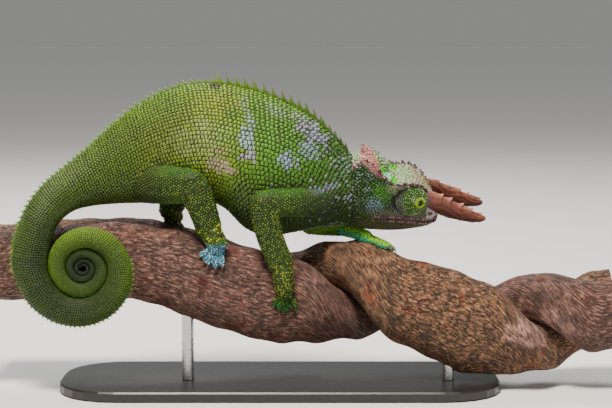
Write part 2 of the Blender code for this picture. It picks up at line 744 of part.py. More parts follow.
def strand_ring(x, phase):
    """A section of one strand: an oval whose thin way points at the other strand."""
    _, z, y, tall_front, tall_back = spline_at_x(PERCH_AXIS, x)
    tall = tall_front if phase else tall_back
    angle = math.pi * (perch_twist(x) + phase)
    out = Vector((0, math.cos(angle), math.sin(angle)))
    across = Vector((0, -math.sin(angle), math.cos(angle)))
    lump = 1 + 0.025 * math.sin(x * 0.16 + phase * 2) + 0.015 * math.sin(x * 0.37 + phase)
    centre = Vector((x, y, z)) + out * (STRAND_DEPTH + GAP)
    ring = []
    for k in range(STRAND_SIDES):
        a = 2 * math.pi * k / STRAND_SIDES
        ring.append(centre + out * STRAND_DEPTH * math.cos(a) + across * tall * lump * math.sin(a))
    return ring


def build_perch(collection):
    """Both strands of the liana, sawn off square at the ends."""
    nodes = {}
    for name, phase in (("perch_front_strand", 1.0), ("perch_back_strand", 0.0)):
        xs = []
        x = PERCH_LEFT
        while x < PERCH_RIGHT - 1.0:
            xs.append(x)
            twists = any(a - TWIST_MARGIN < x < b for a, b in TWISTS)
            x += STRAND_STEP if twists else STRAND_STEP * 2
        xs.append(PERCH_RIGHT)
        nodes[name] = loft(name, [strand_ring(x, phase) for x in xs], collection)
    return nodes


def build_stand(strands, collection):
    """A flat base with round corners, and two short rods up to the perch."""
    outline = bpy.data.curves.new("stand_base_outline", "CURVE")
    outline.dimensions = "2D"
    outline.fill_mode = "BOTH"
    outline.extrude = BASE_THICKNESS / 2 * MM
    corner_points = []
    for cx, cy, start in ((1, 1, 0), (-1, 1, 90), (-1, -1, 180), (1, -1, 270)):
        for step in range(7):
            a = math.radians(start + 15 * step)
            corner_points.append((cx * (BASE_LENGTH / 2 - BASE_CORNER) + BASE_CORNER * math.cos(a),
                                  cy * (BASE_DEPTH / 2 - BASE_CORNER) + BASE_CORNER * math.sin(a)))
    line = outline.splines.new("POLY")
    line.points.add(len(corner_points) - 1)
    for point, (x, y) in zip(line.points, corner_points):
        point.co = (x * MM, y * MM, 0, 1)
    line.use_cyclic_u = True
    guide = bpy.data.objects.new("stand_base_outline", outline)
    bpy.context.scene.collection.objects.link(guide)
    bpy.context.view_layer.update()
    mesh = bpy.data.meshes.new_from_object(guide.evaluated_get(bpy.context.evaluated_depsgraph_get()))
    bpy.data.objects.remove(guide)
    work = bmesh.new()
    work.from_mesh(mesh)
    bmesh.ops.remove_doubles(work, verts=work.verts, dist=1e-6)
    bmesh.ops.translate(work, vec=(0, 0, BASE_THICKNESS / 2 * MM), verts=work.verts)
    work.to_mesh(mesh)
    work.free()
    face_out(mesh)
    base = add_object("stand_base", mesh, collection)
    bevel = base.modifiers.new("eased_edge", "BEVEL")
    bevel.width = BASE_EDGE * MM
    bevel.segments = 1
    bevel.limit_method = "ANGLE"
    bevel.angle_limit = math.radians(40)
    apply_modifiers(base)
    nodes = {"stand_base": base}
    for number, x in enumerate(ROD_X, 1):
        front = strand_ring(x, 1.0 if perch_twist(x) < 0.5 else 0.0)
        lowest = min(front, key=lambda p: p.z)
        foot = (x, lowest.y, BASE_THICKNESS + GAP)
        height = lowest.z + 4.0 - foot[2]
        rod = cone(f"stand_rod_{number}", foot, (0, 0, 1), ROD_RADIUS, height, 20, collection, ROD_RADIUS)
        nodes[rod.name] = fit(rod, *strands)
    return nodes


def main():
    """Build every node in order, each trimmed to what it grows from."""
    clear_scene()
    model = new_collection("fischers_chameleon")
    perch = build_perch(model)
    strands = list(perch.values())
    trunk = build_trunk(model)
    head = build_head(model)
    eyes = build_eyes(head, model)
    horns = build_horns(head, eyes, model)
    legs = build_legs([trunk[n] for n in ("neck", "torso", "tail_base")], strands, model)
    feet = build_feet(legs, strands, head, model)
    add_crest(trunk, model)
    stand = build_stand(strands, model)
    dressed = (
        ("skin", {**trunk, **legs, **feet}),
        ("casque", {"head": head}),
        ("eye_turret", eyes),
        ("horn", horns),
        ("bark", perch),
        ("base_lacquer", {"stand_base": stand["stand_base"]}),
        ("rod_steel", {n: o for n, o in stand.items() if n != "stand_base"}),
    )
    for material, nodes in dressed:
        for obj in nodes.values():
            obj.data.materials.clear()
            obj.data.materials.append(finish(material))
            obj.data.shade_smooth()
            obj.data.set_sharp_from_angle(angle=math.radians(50))


main()
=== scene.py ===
"""A Fischer's chameleon on a twisted liana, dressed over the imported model.

Skin, scales, crest, eye turrets, horns, claws, bark and stand. Every size is in millimetres
until a mesh is made. The head points to +X, and the animal's right side faces -Y.
"""

import logging
import math
import random
from collections.abc import Callable, Iterable, Iterator
from contextlib import contextmanager
from dataclasses import dataclass, field
from enum import Enum
from functools import lru_cache, partial

import bpy
import numpy as np
from bpy.types import ID, Material, MeshPolygon, Node, NodeSocket, NodeTree, Object
from mathutils import Matrix, Vector, noise
from mathutils.bvhtree import BVHTree
from mathutils.kdtree import KDTree


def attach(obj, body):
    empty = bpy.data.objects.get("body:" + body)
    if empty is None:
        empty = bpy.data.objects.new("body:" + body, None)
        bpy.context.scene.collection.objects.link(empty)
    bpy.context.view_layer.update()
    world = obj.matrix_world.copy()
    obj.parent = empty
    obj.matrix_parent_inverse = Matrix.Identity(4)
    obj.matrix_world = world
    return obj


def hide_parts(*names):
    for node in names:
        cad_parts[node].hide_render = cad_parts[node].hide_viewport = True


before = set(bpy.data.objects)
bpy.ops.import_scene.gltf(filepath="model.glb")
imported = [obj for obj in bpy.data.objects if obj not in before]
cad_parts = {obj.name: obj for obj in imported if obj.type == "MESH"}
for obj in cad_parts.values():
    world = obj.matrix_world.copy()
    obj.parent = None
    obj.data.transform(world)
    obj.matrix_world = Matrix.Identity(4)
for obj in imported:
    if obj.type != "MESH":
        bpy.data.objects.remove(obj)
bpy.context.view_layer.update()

MM = 0.001  # a millimetre in metres
BODY = "root"
SEED = 11
Point = tuple[float, float, float]
Rows = tuple[tuple[float, ...], ...]
HEAD_ROLL = math.radians(25.0)
SPLINE_STEPS = 40

log = logging.getLogger("chameleon")


class Side(Enum):
    """The two sides of the animal, by the sign of Y."""

    RIGHT = -1
    LEFT = 1

    @property
    def word(self) -> str:
        """The side's name in a piece's name."""
        return self.name.lower()


class Region(Enum):
    """Where on the animal a scale grows."""

    HEAD = "head"
    TORSO = "torso"
    TAIL = "tail"
    ARM = "arm"
    LEG = "leg"
    FOOT = "foot"


class Form(Enum):
    """The shapes of a scale."""

    TILE = "tile"
    SLAB = "slab"
    GRANULE = "granule"
    TUBERCLE = "tubercle"
    PLATE = "plate"


# Small helpers


@lru_cache(maxsize=None)
def to_linear(code: str) -> np.ndarray:
    """Turn an sRGB hex colour into linear values.

    Args:
        code: The colour, as in "#6a8f2c".

    Returns:
        Red, green and blue from 0 to 1.
    """
    values = np.array([int(code[i : i + 2], 16) / 255 for i in (1, 3, 5)])
    return np.where(values <= 0.04045, values / 12.92, ((values + 0.055) / 1.055) ** 2.4)


def rgba(code: str) -> tuple[float, ...]:
    """The linear colour with full alpha, for a socket."""
    return (*to_linear(code), 1.0)


def smoothstep(low: float, high: float, value: float) -> float:
    """A smooth rise from 0 at low to 1 at high."""
    t = min(max((value - low) / (high - low), 0.0), 1.0)
    return t * t * (3 - 2 * t)


def spline(rows: np.ndarray, t: float) -> np.ndarray:
    """The Catmull-Rom value at t, counted in rows.

    Args:
        rows: One row of values for each station.
        t: From 0 to the last row's number.

    Returns:
        The row at t.
    """
    last = len(rows) - 1
    i = int(min(max(t, 0.0), last - 1e-9))
    u = t - i
    a, b, c, d = rows[max(i - 1, 0)], rows[i], rows[i + 1], rows[min(i + 2, last)]
    return 0.5 * (2 * b + (c - a) * u + (2 * a - 5 * b + 4 * c - d) * u**2 + (3 * b - a - 3 * c + d) * u**3)


@lru_cache(maxsize=None)
def dense_rows(rows: Rows) -> np.ndarray:
    table, count = np.array(rows), (len(rows) - 1) * SPLINE_STEPS + 1
    return np.array([spline(table, step / SPLINE_STEPS) for step in range(count)])


def spline_at_x(rows: Rows, x: float) -> np.ndarray:
    """The row of a spline where its first column, which grows, is x.

    Args:
        rows: The rows of the spline.
        x: The value of the first column.

    Returns:
        The row.
    """
    dense = dense_rows(rows)
    i = min(max(int(np.searchsorted(dense[:, 0], x)), 1), len(dense) - 1)
    share = (x - dense[i - 1, 0]) / (dense[i, 0] - dense[i - 1, 0])
    share = min(max(share, 0.0), 1.0)
    return dense[i - 1] * (1 - share) + dense[i] * share


def blend(colour: np.ndarray, code: str | np.ndarray, share: float | np.ndarray) -> np.ndarray:
    """A colour with that share of another, which is a hex colour or linear, laid over it."""
    return colour * (1 - share) + (to_linear(code) if isinstance(code, str) else code) * share


def pick(luck: float, *codes: str | float) -> np.ndarray:
    """The linear colour for a draw: codes holds hex colours with the draw each lies above between.

    Args:
        luck: The draw, from 0 to 1.
        codes: Hex colours, with the draw that each has to exceed after it, and the last alone.

    Returns:
        The linear colour.
    """
    for code, least in zip(codes[::2], codes[1::2]):
        if luck > least:
            return to_linear(code)
    return to_linear(codes[-1])


def ramp(stops: list[tuple[float, str]], value: float) -> np.ndarray:
    """The linear colour between hex stops at value.

    Args:
        stops: Places and hex colours.
        value: The place.

    Returns:
        The linear colour.
    """
    if value <= stops[0][0]:
        return to_linear(stops[0][1])
    for (a, first), (b, second) in zip(stops, stops[1:]):
        if value <= b:
            return blend(to_linear(first), second, smoothstep(a, b, value))
    return to_linear(stops[-1][1])


def wire(node: Node, settings: dict | None = None, **links: Node | NodeSocket) -> Node:
    """Set a node's properties and sockets, and link its inputs.

    Args:
        node: The node.
        settings: Properties by name, and socket values by name or number.
        links: Sockets, or nodes for their first output, by input name, with _ for a space and
            in0 for input 0.

    Returns:
        The node.
    """
    for key, value in (settings or {}).items():
        if isinstance(key, int) or key in node.inputs:
            node.inputs[key].default_value = value
        else:
            setattr(node, key, value)
    for key, source in links.items():
        target = int(key[2:]) if key[:2] == "in" and key[2:].isdigit() else key.replace("_", " ")
        socket = source.outputs[0] if isinstance(source, Node) else source
        node.id_data.links.new(socket, node.inputs[target])
    return node


def add_node(tree: NodeTree, kind: str, settings: dict | None = None, **links: Node | NodeSocket) -> Node:
    """Add a shader node of that kind, with its settings and links as wire takes them."""
    return wire(tree.nodes.new("ShaderNode" + kind), settings, **links)


def colour_stops(node: Node, stops: list[tuple[float, str]]) -> Node:
    """Give a colour ramp node its hex stops, and return it.

    Args:
        node: The colour ramp.
        stops: Places and hex colours.

    Returns:
        The node.
    """
    elements = node.color_ramp.elements
    while len(elements) < len(stops):
        elements.new(1.0)
    for element, (place, code) in zip(elements, stops):
        element.position = place
        element.color = rgba(code)
    return node


def new_material(name: str) -> tuple[Material, Callable[..., Node], Node]:
    """Start a material.

    Args:
        name: The name of its finish.

    Returns:
        The material, add_node for its tree, and its Principled shader.
    """
    material = bpy.data.materials.new(name)
    material.use_nodes = True
    tree = material.node_tree
    return material, partial(add_node, tree), tree.nodes["Principled BSDF"]


def dress(obj: Object, material: Material) -> None:
    """Make that the object's only material."""
    obj.data.materials.clear()
    obj.data.materials.append(material)


def deselect_all() -> None:
    """Leave edit mode and deselect every object."""
    if bpy.context.mode != "OBJECT":
        bpy.ops.object.mode_set(mode="OBJECT")
    bpy.ops.object.select_all(action="DESELECT")


def activate(obj: Object) -> None:
    """Make obj the only selected object and the active one."""
    deselect_all()
    obj.select_set(True)
    bpy.context.view_layer.objects.active = obj


def settle(obj: Object) -> Object:
    """Put an object's place, turn and scale into its mesh."""
    activate(obj)
    bpy.ops.object.transform_apply(location=True, rotation=True, scale=True)
    return obj


@contextmanager
def editing(obj: Object, chosen: Callable[[MeshPolygon], bool] | None = None) -> Iterator[None]:
    """Edit obj's mesh, with all of it selected or only the faces that chosen names.

    Args:
        obj: The object.
        chosen: Tells whether a face is to be selected.
    """
    activate(obj)
    bpy.ops.object.mode_set(mode="EDIT")
    bpy.ops.mesh.select_all(action="DESELECT" if chosen else "SELECT")
    if chosen:
        bpy.ops.object.mode_set(mode="OBJECT")
        for face in obj.data.polygons:
            face.select = chosen(face)
        bpy.ops.object.mode_set(mode="EDIT")
    yield
    bpy.ops.object.mode_set(mode="OBJECT")


def named(name: str) -> Object:
    """The object that an operator has just made, under that name."""
    obj = bpy.context.object
    obj.name = obj.data.name = name
    return obj


def placed(name: str, data: ID) -> Object:
    """A new object of that data, linked to the scene."""
    obj = bpy.data.objects.new(name, data)
    bpy.context.scene.collection.objects.link(obj)
    return obj


def join(name: str, objects: list[Object]) -> Object:
    """Join the objects into the first of them, under that name.

    Args:
        name: The name.
        objects: The objects.

    Returns:
        The joined object.
    """
    activate(objects[0])
    for obj in objects:
        obj.select_set(True)
    bpy.ops.object.join()
    return named(name)


def apply_modifier(obj: Object, kind: str, **settings: object) -> None:
    """Add a modifier to obj with those settings and apply it.

    Args:
        obj: The object.
        kind: The modifier's type.
        settings: Its properties.
    """
    activate(obj)
    modifier = obj.modifiers.new(kind.lower(), kind)
    for key, value in settings.items():
        setattr(modifier, key, value)
    bpy.ops.object.modifier_apply(modifier=modifier.name)


def smooth_shade(obj: Object, angle: float = 60.0) -> None:
    """Shade obj smooth, but for edges sharper than angle degrees."""
    activate(obj)
    bpy.ops.object.shade_smooth_by_angle(angle=math.radians(angle))


def hand_in(obj: Object, slot: str, *nodes: str) -> Object:
    """Let a finished piece ride on the body, and hide the CAD nodes that it replaces.

    Args:
        obj: The piece.
        slot: Not used.
        nodes: The CAD nodes that it replaces.

    Returns:
        The piece.
    """
    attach(obj, BODY)
    if nodes:
        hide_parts(*nodes)
    return obj


def wrapped_grid(name: str, around: int, along: int, ring: Callable[[float], np.ndarray],
                 tones: Callable[[float], np.ndarray] | None = None) -> Object:
    """Wrap a flat grid into a closed tube, ring by ring.

    Args:
        name: The object's name.
        around: Cells round the tube.
        along: Cells along it.
        ring: Gives the around points, in mm, of the ring at a share from 0 to 1 of the length.
        tones: Gives the colours of that ring's points, if they have any.

    Returns:
        The tube, closed at both ends, with the grid's UV map: U along and V around.
    """
    deselect_all()
    bpy.ops.mesh.primitive_grid_add(x_subdivisions=along, y_subdivisions=around, size=1.0, calc_uvs=True)
    obj = named(name)
    flat = np.empty(len(obj.data.vertices) * 3)
    obj.data.vertices.foreach_get("co", flat)
    cells = np.rint((flat.reshape(-1, 3)[:, :2] + 0.5) * (along, around)).astype(int)
    rings = np.array([ring(i / along) for i in range(along + 1)])
    obj.data.vertices.foreach_set("co", (rings[cells[:, 0], cells[:, 1] % around] * MM).ravel())
    if tones:
        colours = np.array([tones(i / along) for i in range(along + 1)])
        paint(obj, colours[cells[:, 0], cells[:, 1] % around], np.ones(len(cells)))
    with editing(obj):
        bpy.ops.mesh.remove_doubles(threshold=1e-7)
        bpy.ops.mesh.fill_holes(sides=0)
    face_outwards(obj)
    return obj


def oval(centre: Vector, up: Vector, side: Vector, count: int) -> np.ndarray:
    """A ring of points on an oval with those half axes, from up towards side.

    Args:
        centre: The middle.
        up: The half axis of the first point.
        side: The other half axis.
        count: How many points.

    Returns:
        The points.
    """
    angles = np.arange(count) * 2 * math.pi / count
    tall, wide = np.outer(np.cos(angles), np.array(up)), np.outer(np.sin(angles), np.array(side))
    return np.array(centre) + tall + wide


def triangle_object(name: str, points: np.ndarray, faces: np.ndarray) -> Object:
    """An object of triangles, from points in mm.

    Args:
        name: The name.
        points: The points.
        faces: Three point numbers to each triangle.

    Returns:
        The object.
    """
    mesh = bpy.data.meshes.new(name)
    mesh.vertices.add(len(points))
    mesh.vertices.foreach_set("co", (points * MM).astype(np.float32).ravel())
    mesh.loops.add(faces.size)
    mesh.loops.foreach_set("vertex_index", faces.astype(np.int32).ravel())
    mesh.polygons.add(len(faces))
    mesh.polygons.foreach_set("loop_start", np.arange(0, faces.size, 3, dtype=np.int32))
    mesh.update(calc_edges=True)
    mesh.validate()
    return placed(name, mesh)


def paint(obj: Object, tint: np.ndarray, rise: np.ndarray | None = None) -> None:
    """Store each point's colour, and how far up its scale it lies.

    Args:
        obj: The object.
        tint: Each point's linear colour.
        rise: From 0 at the foot to 1 at the crown, for each point; the finish paints shade at the foot from
            it.
    """
    layer = obj.data.color_attributes.new("tint", "FLOAT_COLOR", "POINT")
    layer.data.foreach_set("color", np.column_stack([tint, np.ones(len(tint))]).astype(np.float32).ravel())
    if rise is not None:
        height = obj.data.attributes.new("rise", "FLOAT", "POINT")
        height.data.foreach_set("value", rise.astype(np.float32))


def stack_faces(levels: int, sides: int) -> np.ndarray:
    """Triangles, seen from outside, of a stack of rings that is closed below and ends in a point.

    Args:
        levels: How many rings.
        sides: How many points to a ring.

    Returns:
        Three point numbers to each triangle.
    """
    faces = [(0, k + 1, k) for k in range(1, sides - 1)]
    for r in range(levels - 1):
        for k in range(sides):
            a, b = r * sides + k, r * sides + (k + 1) % sides
            faces += [(a, b, b + sides), (a, b + sides, a + sides)]
    top = (levels - 1) * sides
    return np.array(faces + [(top + k, top + (k + 1) % sides, top + sides) for k in range(sides)])


@dataclass
class Stacks:
    """Many closed stacks of rings, such as spines and granules, joined in one painted object."""

    name: str
    rises: tuple[float, ...]
    sides: int
    points: list[np.ndarray] = field(default_factory=list)
    tints: list[np.ndarray] = field(default_factory=list)

    def add(self, rings: list[np.ndarray], tip: Vector, tint: np.ndarray) -> None:
        """Add one stack.

        Args:
            rings: Its rings from the foot up, in mm.
            tip: The point that closes it.
            tint: Its colour, or one colour for each level and one for the tip.
        """
        self.points.append(np.vstack([*rings, np.array(tip)[None]]))
        each = np.broadcast_to(tint, (len(self.rises), 3))
        self.tints.append(np.vstack([np.repeat(each[:-1], self.sides, 0), each[-1:]]))

    def build(self) -> Object:
        """Join the stacks, with a UV map where each is a small patch of its own."""
        count = len(self.points[0])
        faces = stack_faces(len(self.rises) - 1, self.sides)
        every = (faces[None] + (np.arange(len(self.points)) * count)[:, None, None]).reshape(-1, 3)
        obj = triangle_object(self.name, np.vstack(self.points), every)
        face_outwards(obj)
        rises = np.append(np.repeat(self.rises[:-1], self.sides), self.rises[-1])
        paint(obj, np.clip(np.vstack(self.tints), 0, 1), np.tile(rises, len(self.points)))
        wide = math.ceil(math.sqrt(len(self.points)))
        number = np.repeat(np.arange(len(self.points)), count)
        spin = np.tile(np.append(np.tile(np.arange(self.sides), len(self.rises) - 1), 0), len(self.points))
        turn = spin * 2 * math.pi / self.sides
        across, along = number % wide + 0.5, number // wide + 0.5
        patch = np.stack([across + 0.3 * np.cos(turn), along + 0.3 * np.sin(turn)], 1)
        corners = np.empty(len(obj.data.loops), np.int32)
        obj.data.loops.foreach_get("vertex_index", corners)
        obj.data.uv_layers.new(name="OFBake").data.foreach_set("uv", (patch[corners] / wide).ravel())
        smooth_shade(obj, 70.0)
        return obj


def face_outwards(obj: Object) -> None:
    """Turn every face of a closed mesh outwards."""
    with editing(obj):
        bpy.ops.mesh.normals_make_consistent(inside=False)


def surface_tree(objects: list[Object], names: list[str] | None = None) -> BVHTree:
    """A tree of the objects' faces, in mm, with each face's object noted in names.

    Args:
        objects: The objects.
        names: A list to note the names in, if they matter.

    Returns:
        The tree.
    """
    points, faces = [], []
    for obj in objects:
        start = len(points)
        points += [v.co / MM for v in obj.data.vertices]
        faces += [tuple(start + v for v in p.vertices) for p in obj.data.polygons]
        if names is not None:
            names += [obj.name] * len(obj.data.polygons)
    return BVHTree.FromPolygons(points, faces)


def limb_table(joints: Iterable[tuple[tuple[float, ...] | Vector, float, float]]) -> np.ndarray:
    """The joints as rows of x, y, z, half height and half width."""
    return np.array([(*place, tall, wide) for place, tall, wide in joints])


def heading_at(rows: np.ndarray, t: float) -> Vector:
    """The way that a spline of places goes at t."""
    ahead, behind = min(t + 0.03, len(rows) - 1), max(t - 0.03, 0)
    return Vector(spline(rows, ahead)[:3] - spline(rows, behind)[:3]).normalized()


# Shape of the animal


@dataclass
class TrunkLine:
    """The line of the body from the neck to the tip of the tail, with its sections.

    A station holds the back's x and z, the belly's x and z, the midline's y, the half width, and
    how keeled the back is.
    """

    stations: Rows = (
        (35.5, 120.0, 35.5, 79.0, 0.0, 10.8, 0.5),
        (27.4, 128.6, 30.0, 79.3, 0.0, 11.8, 0.7),
        (16.0, 137.6, 19.0, 79.3, 0.0, 13.4, 0.9),
        (2.6, 144.2, 6.5, 77.8, 0.0, 15.0, 1.0),
        (-12.3, 149.6, -6.0, 76.3, 0.0, 15.8, 1.0),
        (-27.2, 152.6, -17.5, 80.3, 0.0, 15.4, 1.0),
        (-42.1, 153.0, -29.0, 91.0, 0.0, 14.2, 1.0),
        (-57.0, 149.0, -42.5, 94.0, 0.0, 12.6, 0.9),
        (-70.5, 142.0, -57.5, 92.8, 0.0, 11.2, 0.7),
        (-83.5, 132.0, -71.0, 92.8, 0.0, 10.2, 0.45),
        (-95.5, 121.2, -83.9, 92.4, -1.0, 9.4, 0.25),
        (-106.5, 111.8, -94.4, 91.6, -5.0, 8.8, 0.1),
        (-117.0, 103.0, -102.4, 89.6, -12.0, 8.2, 0.0),
        (-125.0, 91.0, -108.6, 83.5, -18.5, 7.8, 0.0),
        (-129.4, 76.6, -111.6, 73.8, -23.0, 7.6, 0.0),
    )
    coil_centre: tuple[float, float] = (-95.8, 63.5)
    coil_radius: float = 34.0
    coil_y: float = -24.0
    coil_turns: float = 4.0
    coil_stations: int = 12
    coil_clear: float = 0.1
    coil_flatten: float = 0.9
    head_roll: float = HEAD_ROLL
    roll_fades_at: float = 4.0
    hip: float = 9.0
    rows: np.ndarray = field(init=False)

    def __post_init__(self) -> None:
        """Add the coil's stations to the trunk's."""
        coil = []
        for i in range(int(self.coil_turns * self.coil_stations) + 2):
            turns = i / self.coil_stations
            outer = self.coil_radius * 2 ** (-turns)
            inner = outer / 2 + self.coil_clear / 2
            outer -= self.coil_clear / 2
            angle = math.pi + 2 * math.pi * turns
            way = np.array((math.cos(angle), math.sin(angle)))
            back, belly = self.coil_centre + outer * way, self.coil_centre + inner * way
            coil.append((*back, *belly, self.coil_y, self.coil_flatten * (outer - inner) / 2, 0.0))
        self.rows = np.array([*self.stations, *coil])

    @property
    def coil_start(self) -> float:
        """The station where the coil begins."""
        return float(len(self.stations))

    @property
    def last(self) -> float:
        """The station of the tail's tip."""
        return self.coil_start + self.coil_turns * self.coil_stations

    def frame(self, t: float) -> tuple[Vector, Vector, Vector, float, float]:
        """Centre, half height vector, unit side vector, half width and keel at station t."""
        back_x, back_z, belly_x, belly_z, y, width, keel = spline(self.rows, t)
        turn = Matrix.Rotation(self.head_roll * (1 - smoothstep(0.0, self.roll_fades_at, t)), 3, "X")
        centre = Vector(((back_x + belly_x) / 2, y, (back_z + belly_z) / 2))
        up = turn @ Vector(((back_x - belly_x) / 2, 0, (back_z - belly_z) / 2))
        return centre, up, turn @ Vector((0, 1, 0)), width, keel

    def ring(self, t: float, count: int, scale: float = 1.0, inset: float = 0.0) -> np.ndarray:
        """The points of the section at station t, from the back over the left side.

        Args:
            t: The trunk station.
            count: How many points.
            scale: The section's size.
            inset: How far it is drawn in, in mm.

        Returns:
            The points in mm.
        """
        centre, up, side, width, keel = self.frame(t)
        up, width = up * (1 - inset / max(up.length, inset * 2)), width - min(inset, width / 2)
        angles = np.arange(count) * 2 * math.pi / count
        rise = np.cos(angles)
        share = np.clip((rise + 0.15) / 1.15, 0, 1)
        narrow = 1 - keel * 0.44 * share**2 * (3 - 2 * share) + keel * 0.05 * np.clip(-rise, 0, None)
        across = width * np.sin(angles) * narrow
        return np.array(centre) + scale * (np.outer(rise, np.array(up)) + np.outer(across, np.array(side)))

    def back(self, t: float) -> Vector:
        """The point on the ridge of the back at station t."""
        centre, up, _, _, _ = self.frame(t)
        return centre + up

    def back_after(self, t: float, distance: float) -> float:
        """The station that lies that far along the back from t.

        Args:
            t: The first station.
            distance: The distance in mm.

        Returns:
            The station.
        """
        start, moved = self.back(t), t
        while (self.back(moved) - start).length < distance:
            moved += 0.01
        return moved

    def centre_after(self, t: float, distance: float) -> float:
        """The station whose centre lies that far along from t.

        Args:
            t: The first station.
            distance: The distance in mm.

        Returns:
            The station.
        """
        start, moved = self.frame(t)[0], t
        while (self.frame(moved)[0] - start).length < distance:
            moved += 0.01
        return moved


@dataclass(frozen=True)
class HeadFrame:
    """The head's own upright frame: x along the row, w out from the midline, h above the pivot."""

    roll: float = HEAD_ROLL
    pivot_z: float = 99.5
    crest: Rows = (
        (35.8, 6.5, 16.0), (41.5, 5.2, 20.4), (47, 7.4, 18.4), (52, 10.3, 12.8), (57, 11.7, 9.6),
        (63, 10.9, 10.0), (68, 9.0, 8.8), (73.5, 6.6, 3.6), (78.9, 2.6, -7.5),
    )
    lip: Rows = (
        (35.8, 10.6, -9.6), (46, 11.4, -9.8), (57, 10.8, -10.6), (65, 9.6, -12.0), (73.5, 7.2, -14.2),
        (78.9, 2.8, -15.4),
    )
    back: float = 35.8
    snout: float = 79.5
    mouth_corner: float = 45.0
    nostril: Point = (74.8, 6.3, -10.2)
    eye: Point = (65.0, 9.2, -0.4)

    def from_eye(self, x: float, h: float) -> float:
        """How far x and h lie from the middle of the eye, seen from the side."""
        return math.hypot(x - self.eye[0], h - self.eye[2])

    def point(self, x: float, w: float, h: float) -> Vector:
        """The row's point for x, w and h."""
        return Vector((x, 0, self.pivot_z)) + Matrix.Rotation(self.roll, 3, "X") @ Vector((0, w, h))

    def from_nostril(self, p: Vector) -> float:
        """How far a point of the row lies from the nearer nostril."""
        x, w, h = self.local(p)
        return (Vector((x, abs(w), h)) - Vector(self.nostril)).length

    def direction(self, x: float, w: float, h: float) -> Vector:
        """The row's direction for x, w and h."""
        return Matrix.Rotation(self.roll, 3, "X") @ Vector((x, w, h))

    def local(self, point: Vector) -> Point:
        """x, w and h of a point of the row."""
        back = Matrix.Rotation(-self.roll, 3, "X") @ (point - Vector((0, 0, self.pivot_z)))
        return back.x, back.y, back.z


@dataclass(frozen=True)
class Limb:
    """The line of one leg from hip or shoulder to wrist, with its half height and half width."""

    name: str
    joints: tuple[tuple[Point, float, float], ...]
    foot: str
    palm: Point
    palm_radius: float
    bundles: tuple[tuple[Point, int, float], ...]


LIMBS = (
    Limb("front_right", (((25, -4, 93), 8.2, 6.0), ((12, -13.5, 94.5), 7.0, 6.2),
                         ((-6.5, -20, 95), 7.2, 6.0), ((-5.4, -21, 81), 6.8, 6.0),
                         ((1.2, -22.6, 64.5), 6.2, 5.6)),
         "front_right_hand", (2.6, -21, 53.5), 5.2,
         (((0.1, 0.1, -1.0), 3, 11.0), ((-0.4, -0.1, -1.0), 2, 9.5))),
    Limb("front_left", (((25, 4, 92), 8.2, 6.0), ((22, 13, 86), 6.8, 6.0), ((15.5, 18.8, 80.3), 6.2, 5.7),
                        ((24, 18, 79.0), 4.8, 5.2), ((33.5, 13, 78.2), 4.6, 4.8)),
         "front_left_hand", (44.5, 2.0, 72), 3.6,
         (((1.0, -0.42, -0.2), 3, 14.0), ((0.3, 0.9, -0.2), 2, 8.5))),
    Limb("hind_right", (((-70, -3, 104), 10.5, 6.0), ((-58, -11, 103), 9.6, 6.6),
                        ((-43, -17.5, 103.2), 8.4, 6.5), ((-37.4, -17, 91), 7.2, 6.0),
                        ((-34.6, -15.5, 81.5), 6.6, 5.6)),
         "hind_right_foot", (-31.6, -14, 71), 5.4,
         (((-0.1, -0.3, -1.0), 3, 9.5), ((-0.95, -0.4, -0.75), 2, 8.5))),
    Limb("hind_left", (((-70, 3, 104), 10.5, 6.0), ((-60, 11, 103), 9.4, 6.6),
                       ((-50, 17.5, 100.5), 8.1, 6.5), ((-54, 19, 93), 7.0, 6.0),
                       ((-56.5, 19, 87.5), 6.2, 5.6)),
         "hind_left_foot", (-56, 20.5, 80), 5.2,
         (((0.4, 0.9, -0.5), 3, 10.5), ((-0.5, 0.9, -0.5), 2, 10.0))),
)


def tube(name: str, joints: list[tuple[Vector, float, float]], around: int, along: int) -> Object:
    """A tapered oval tube with rounded ends.

    Args:
        name: The object's name.
        joints: Place, half height and half width at each joint.
        around: Cells round it.
        along: Cells along it.

    Returns:
        The tube.
    """
    rows = limb_table(joints)

    def ring(share: float) -> np.ndarray:
        """The tube's section at a share of its length, drawn in at both ends.

        Args:
            share: From 0 at the start to 1 at the end.

        Returns:
            The points in mm.
        """
        inner = min(max((share - 0.12) / 0.76, 0.0), 1.0)
        station = inner * (len(rows) - 1)
        here, along_line = spline(rows, station), heading_at(rows, station)
        past = (share - 0.88) / 0.12 if share > 0.88 else (share - 0.12) / 0.12 if share < 0.12 else 0.0
        narrow = math.sqrt(max(1 - past * past, 0.004))
        across = Vector((0, 1, 0)) - along_line * along_line.y
        if across.length < 0.3:
            across = Vector((0, 0, 1)) - along_line * along_line.z
        across.normalize()
        centre = Vector(here[:3]) + along_line * past * (here[3] + here[4]) / 2
        return oval(centre, along_line.cross(across) * here[3] * narrow, across * here[4] * narrow, around)

    return wrapped_grid(name, around, along, ring)


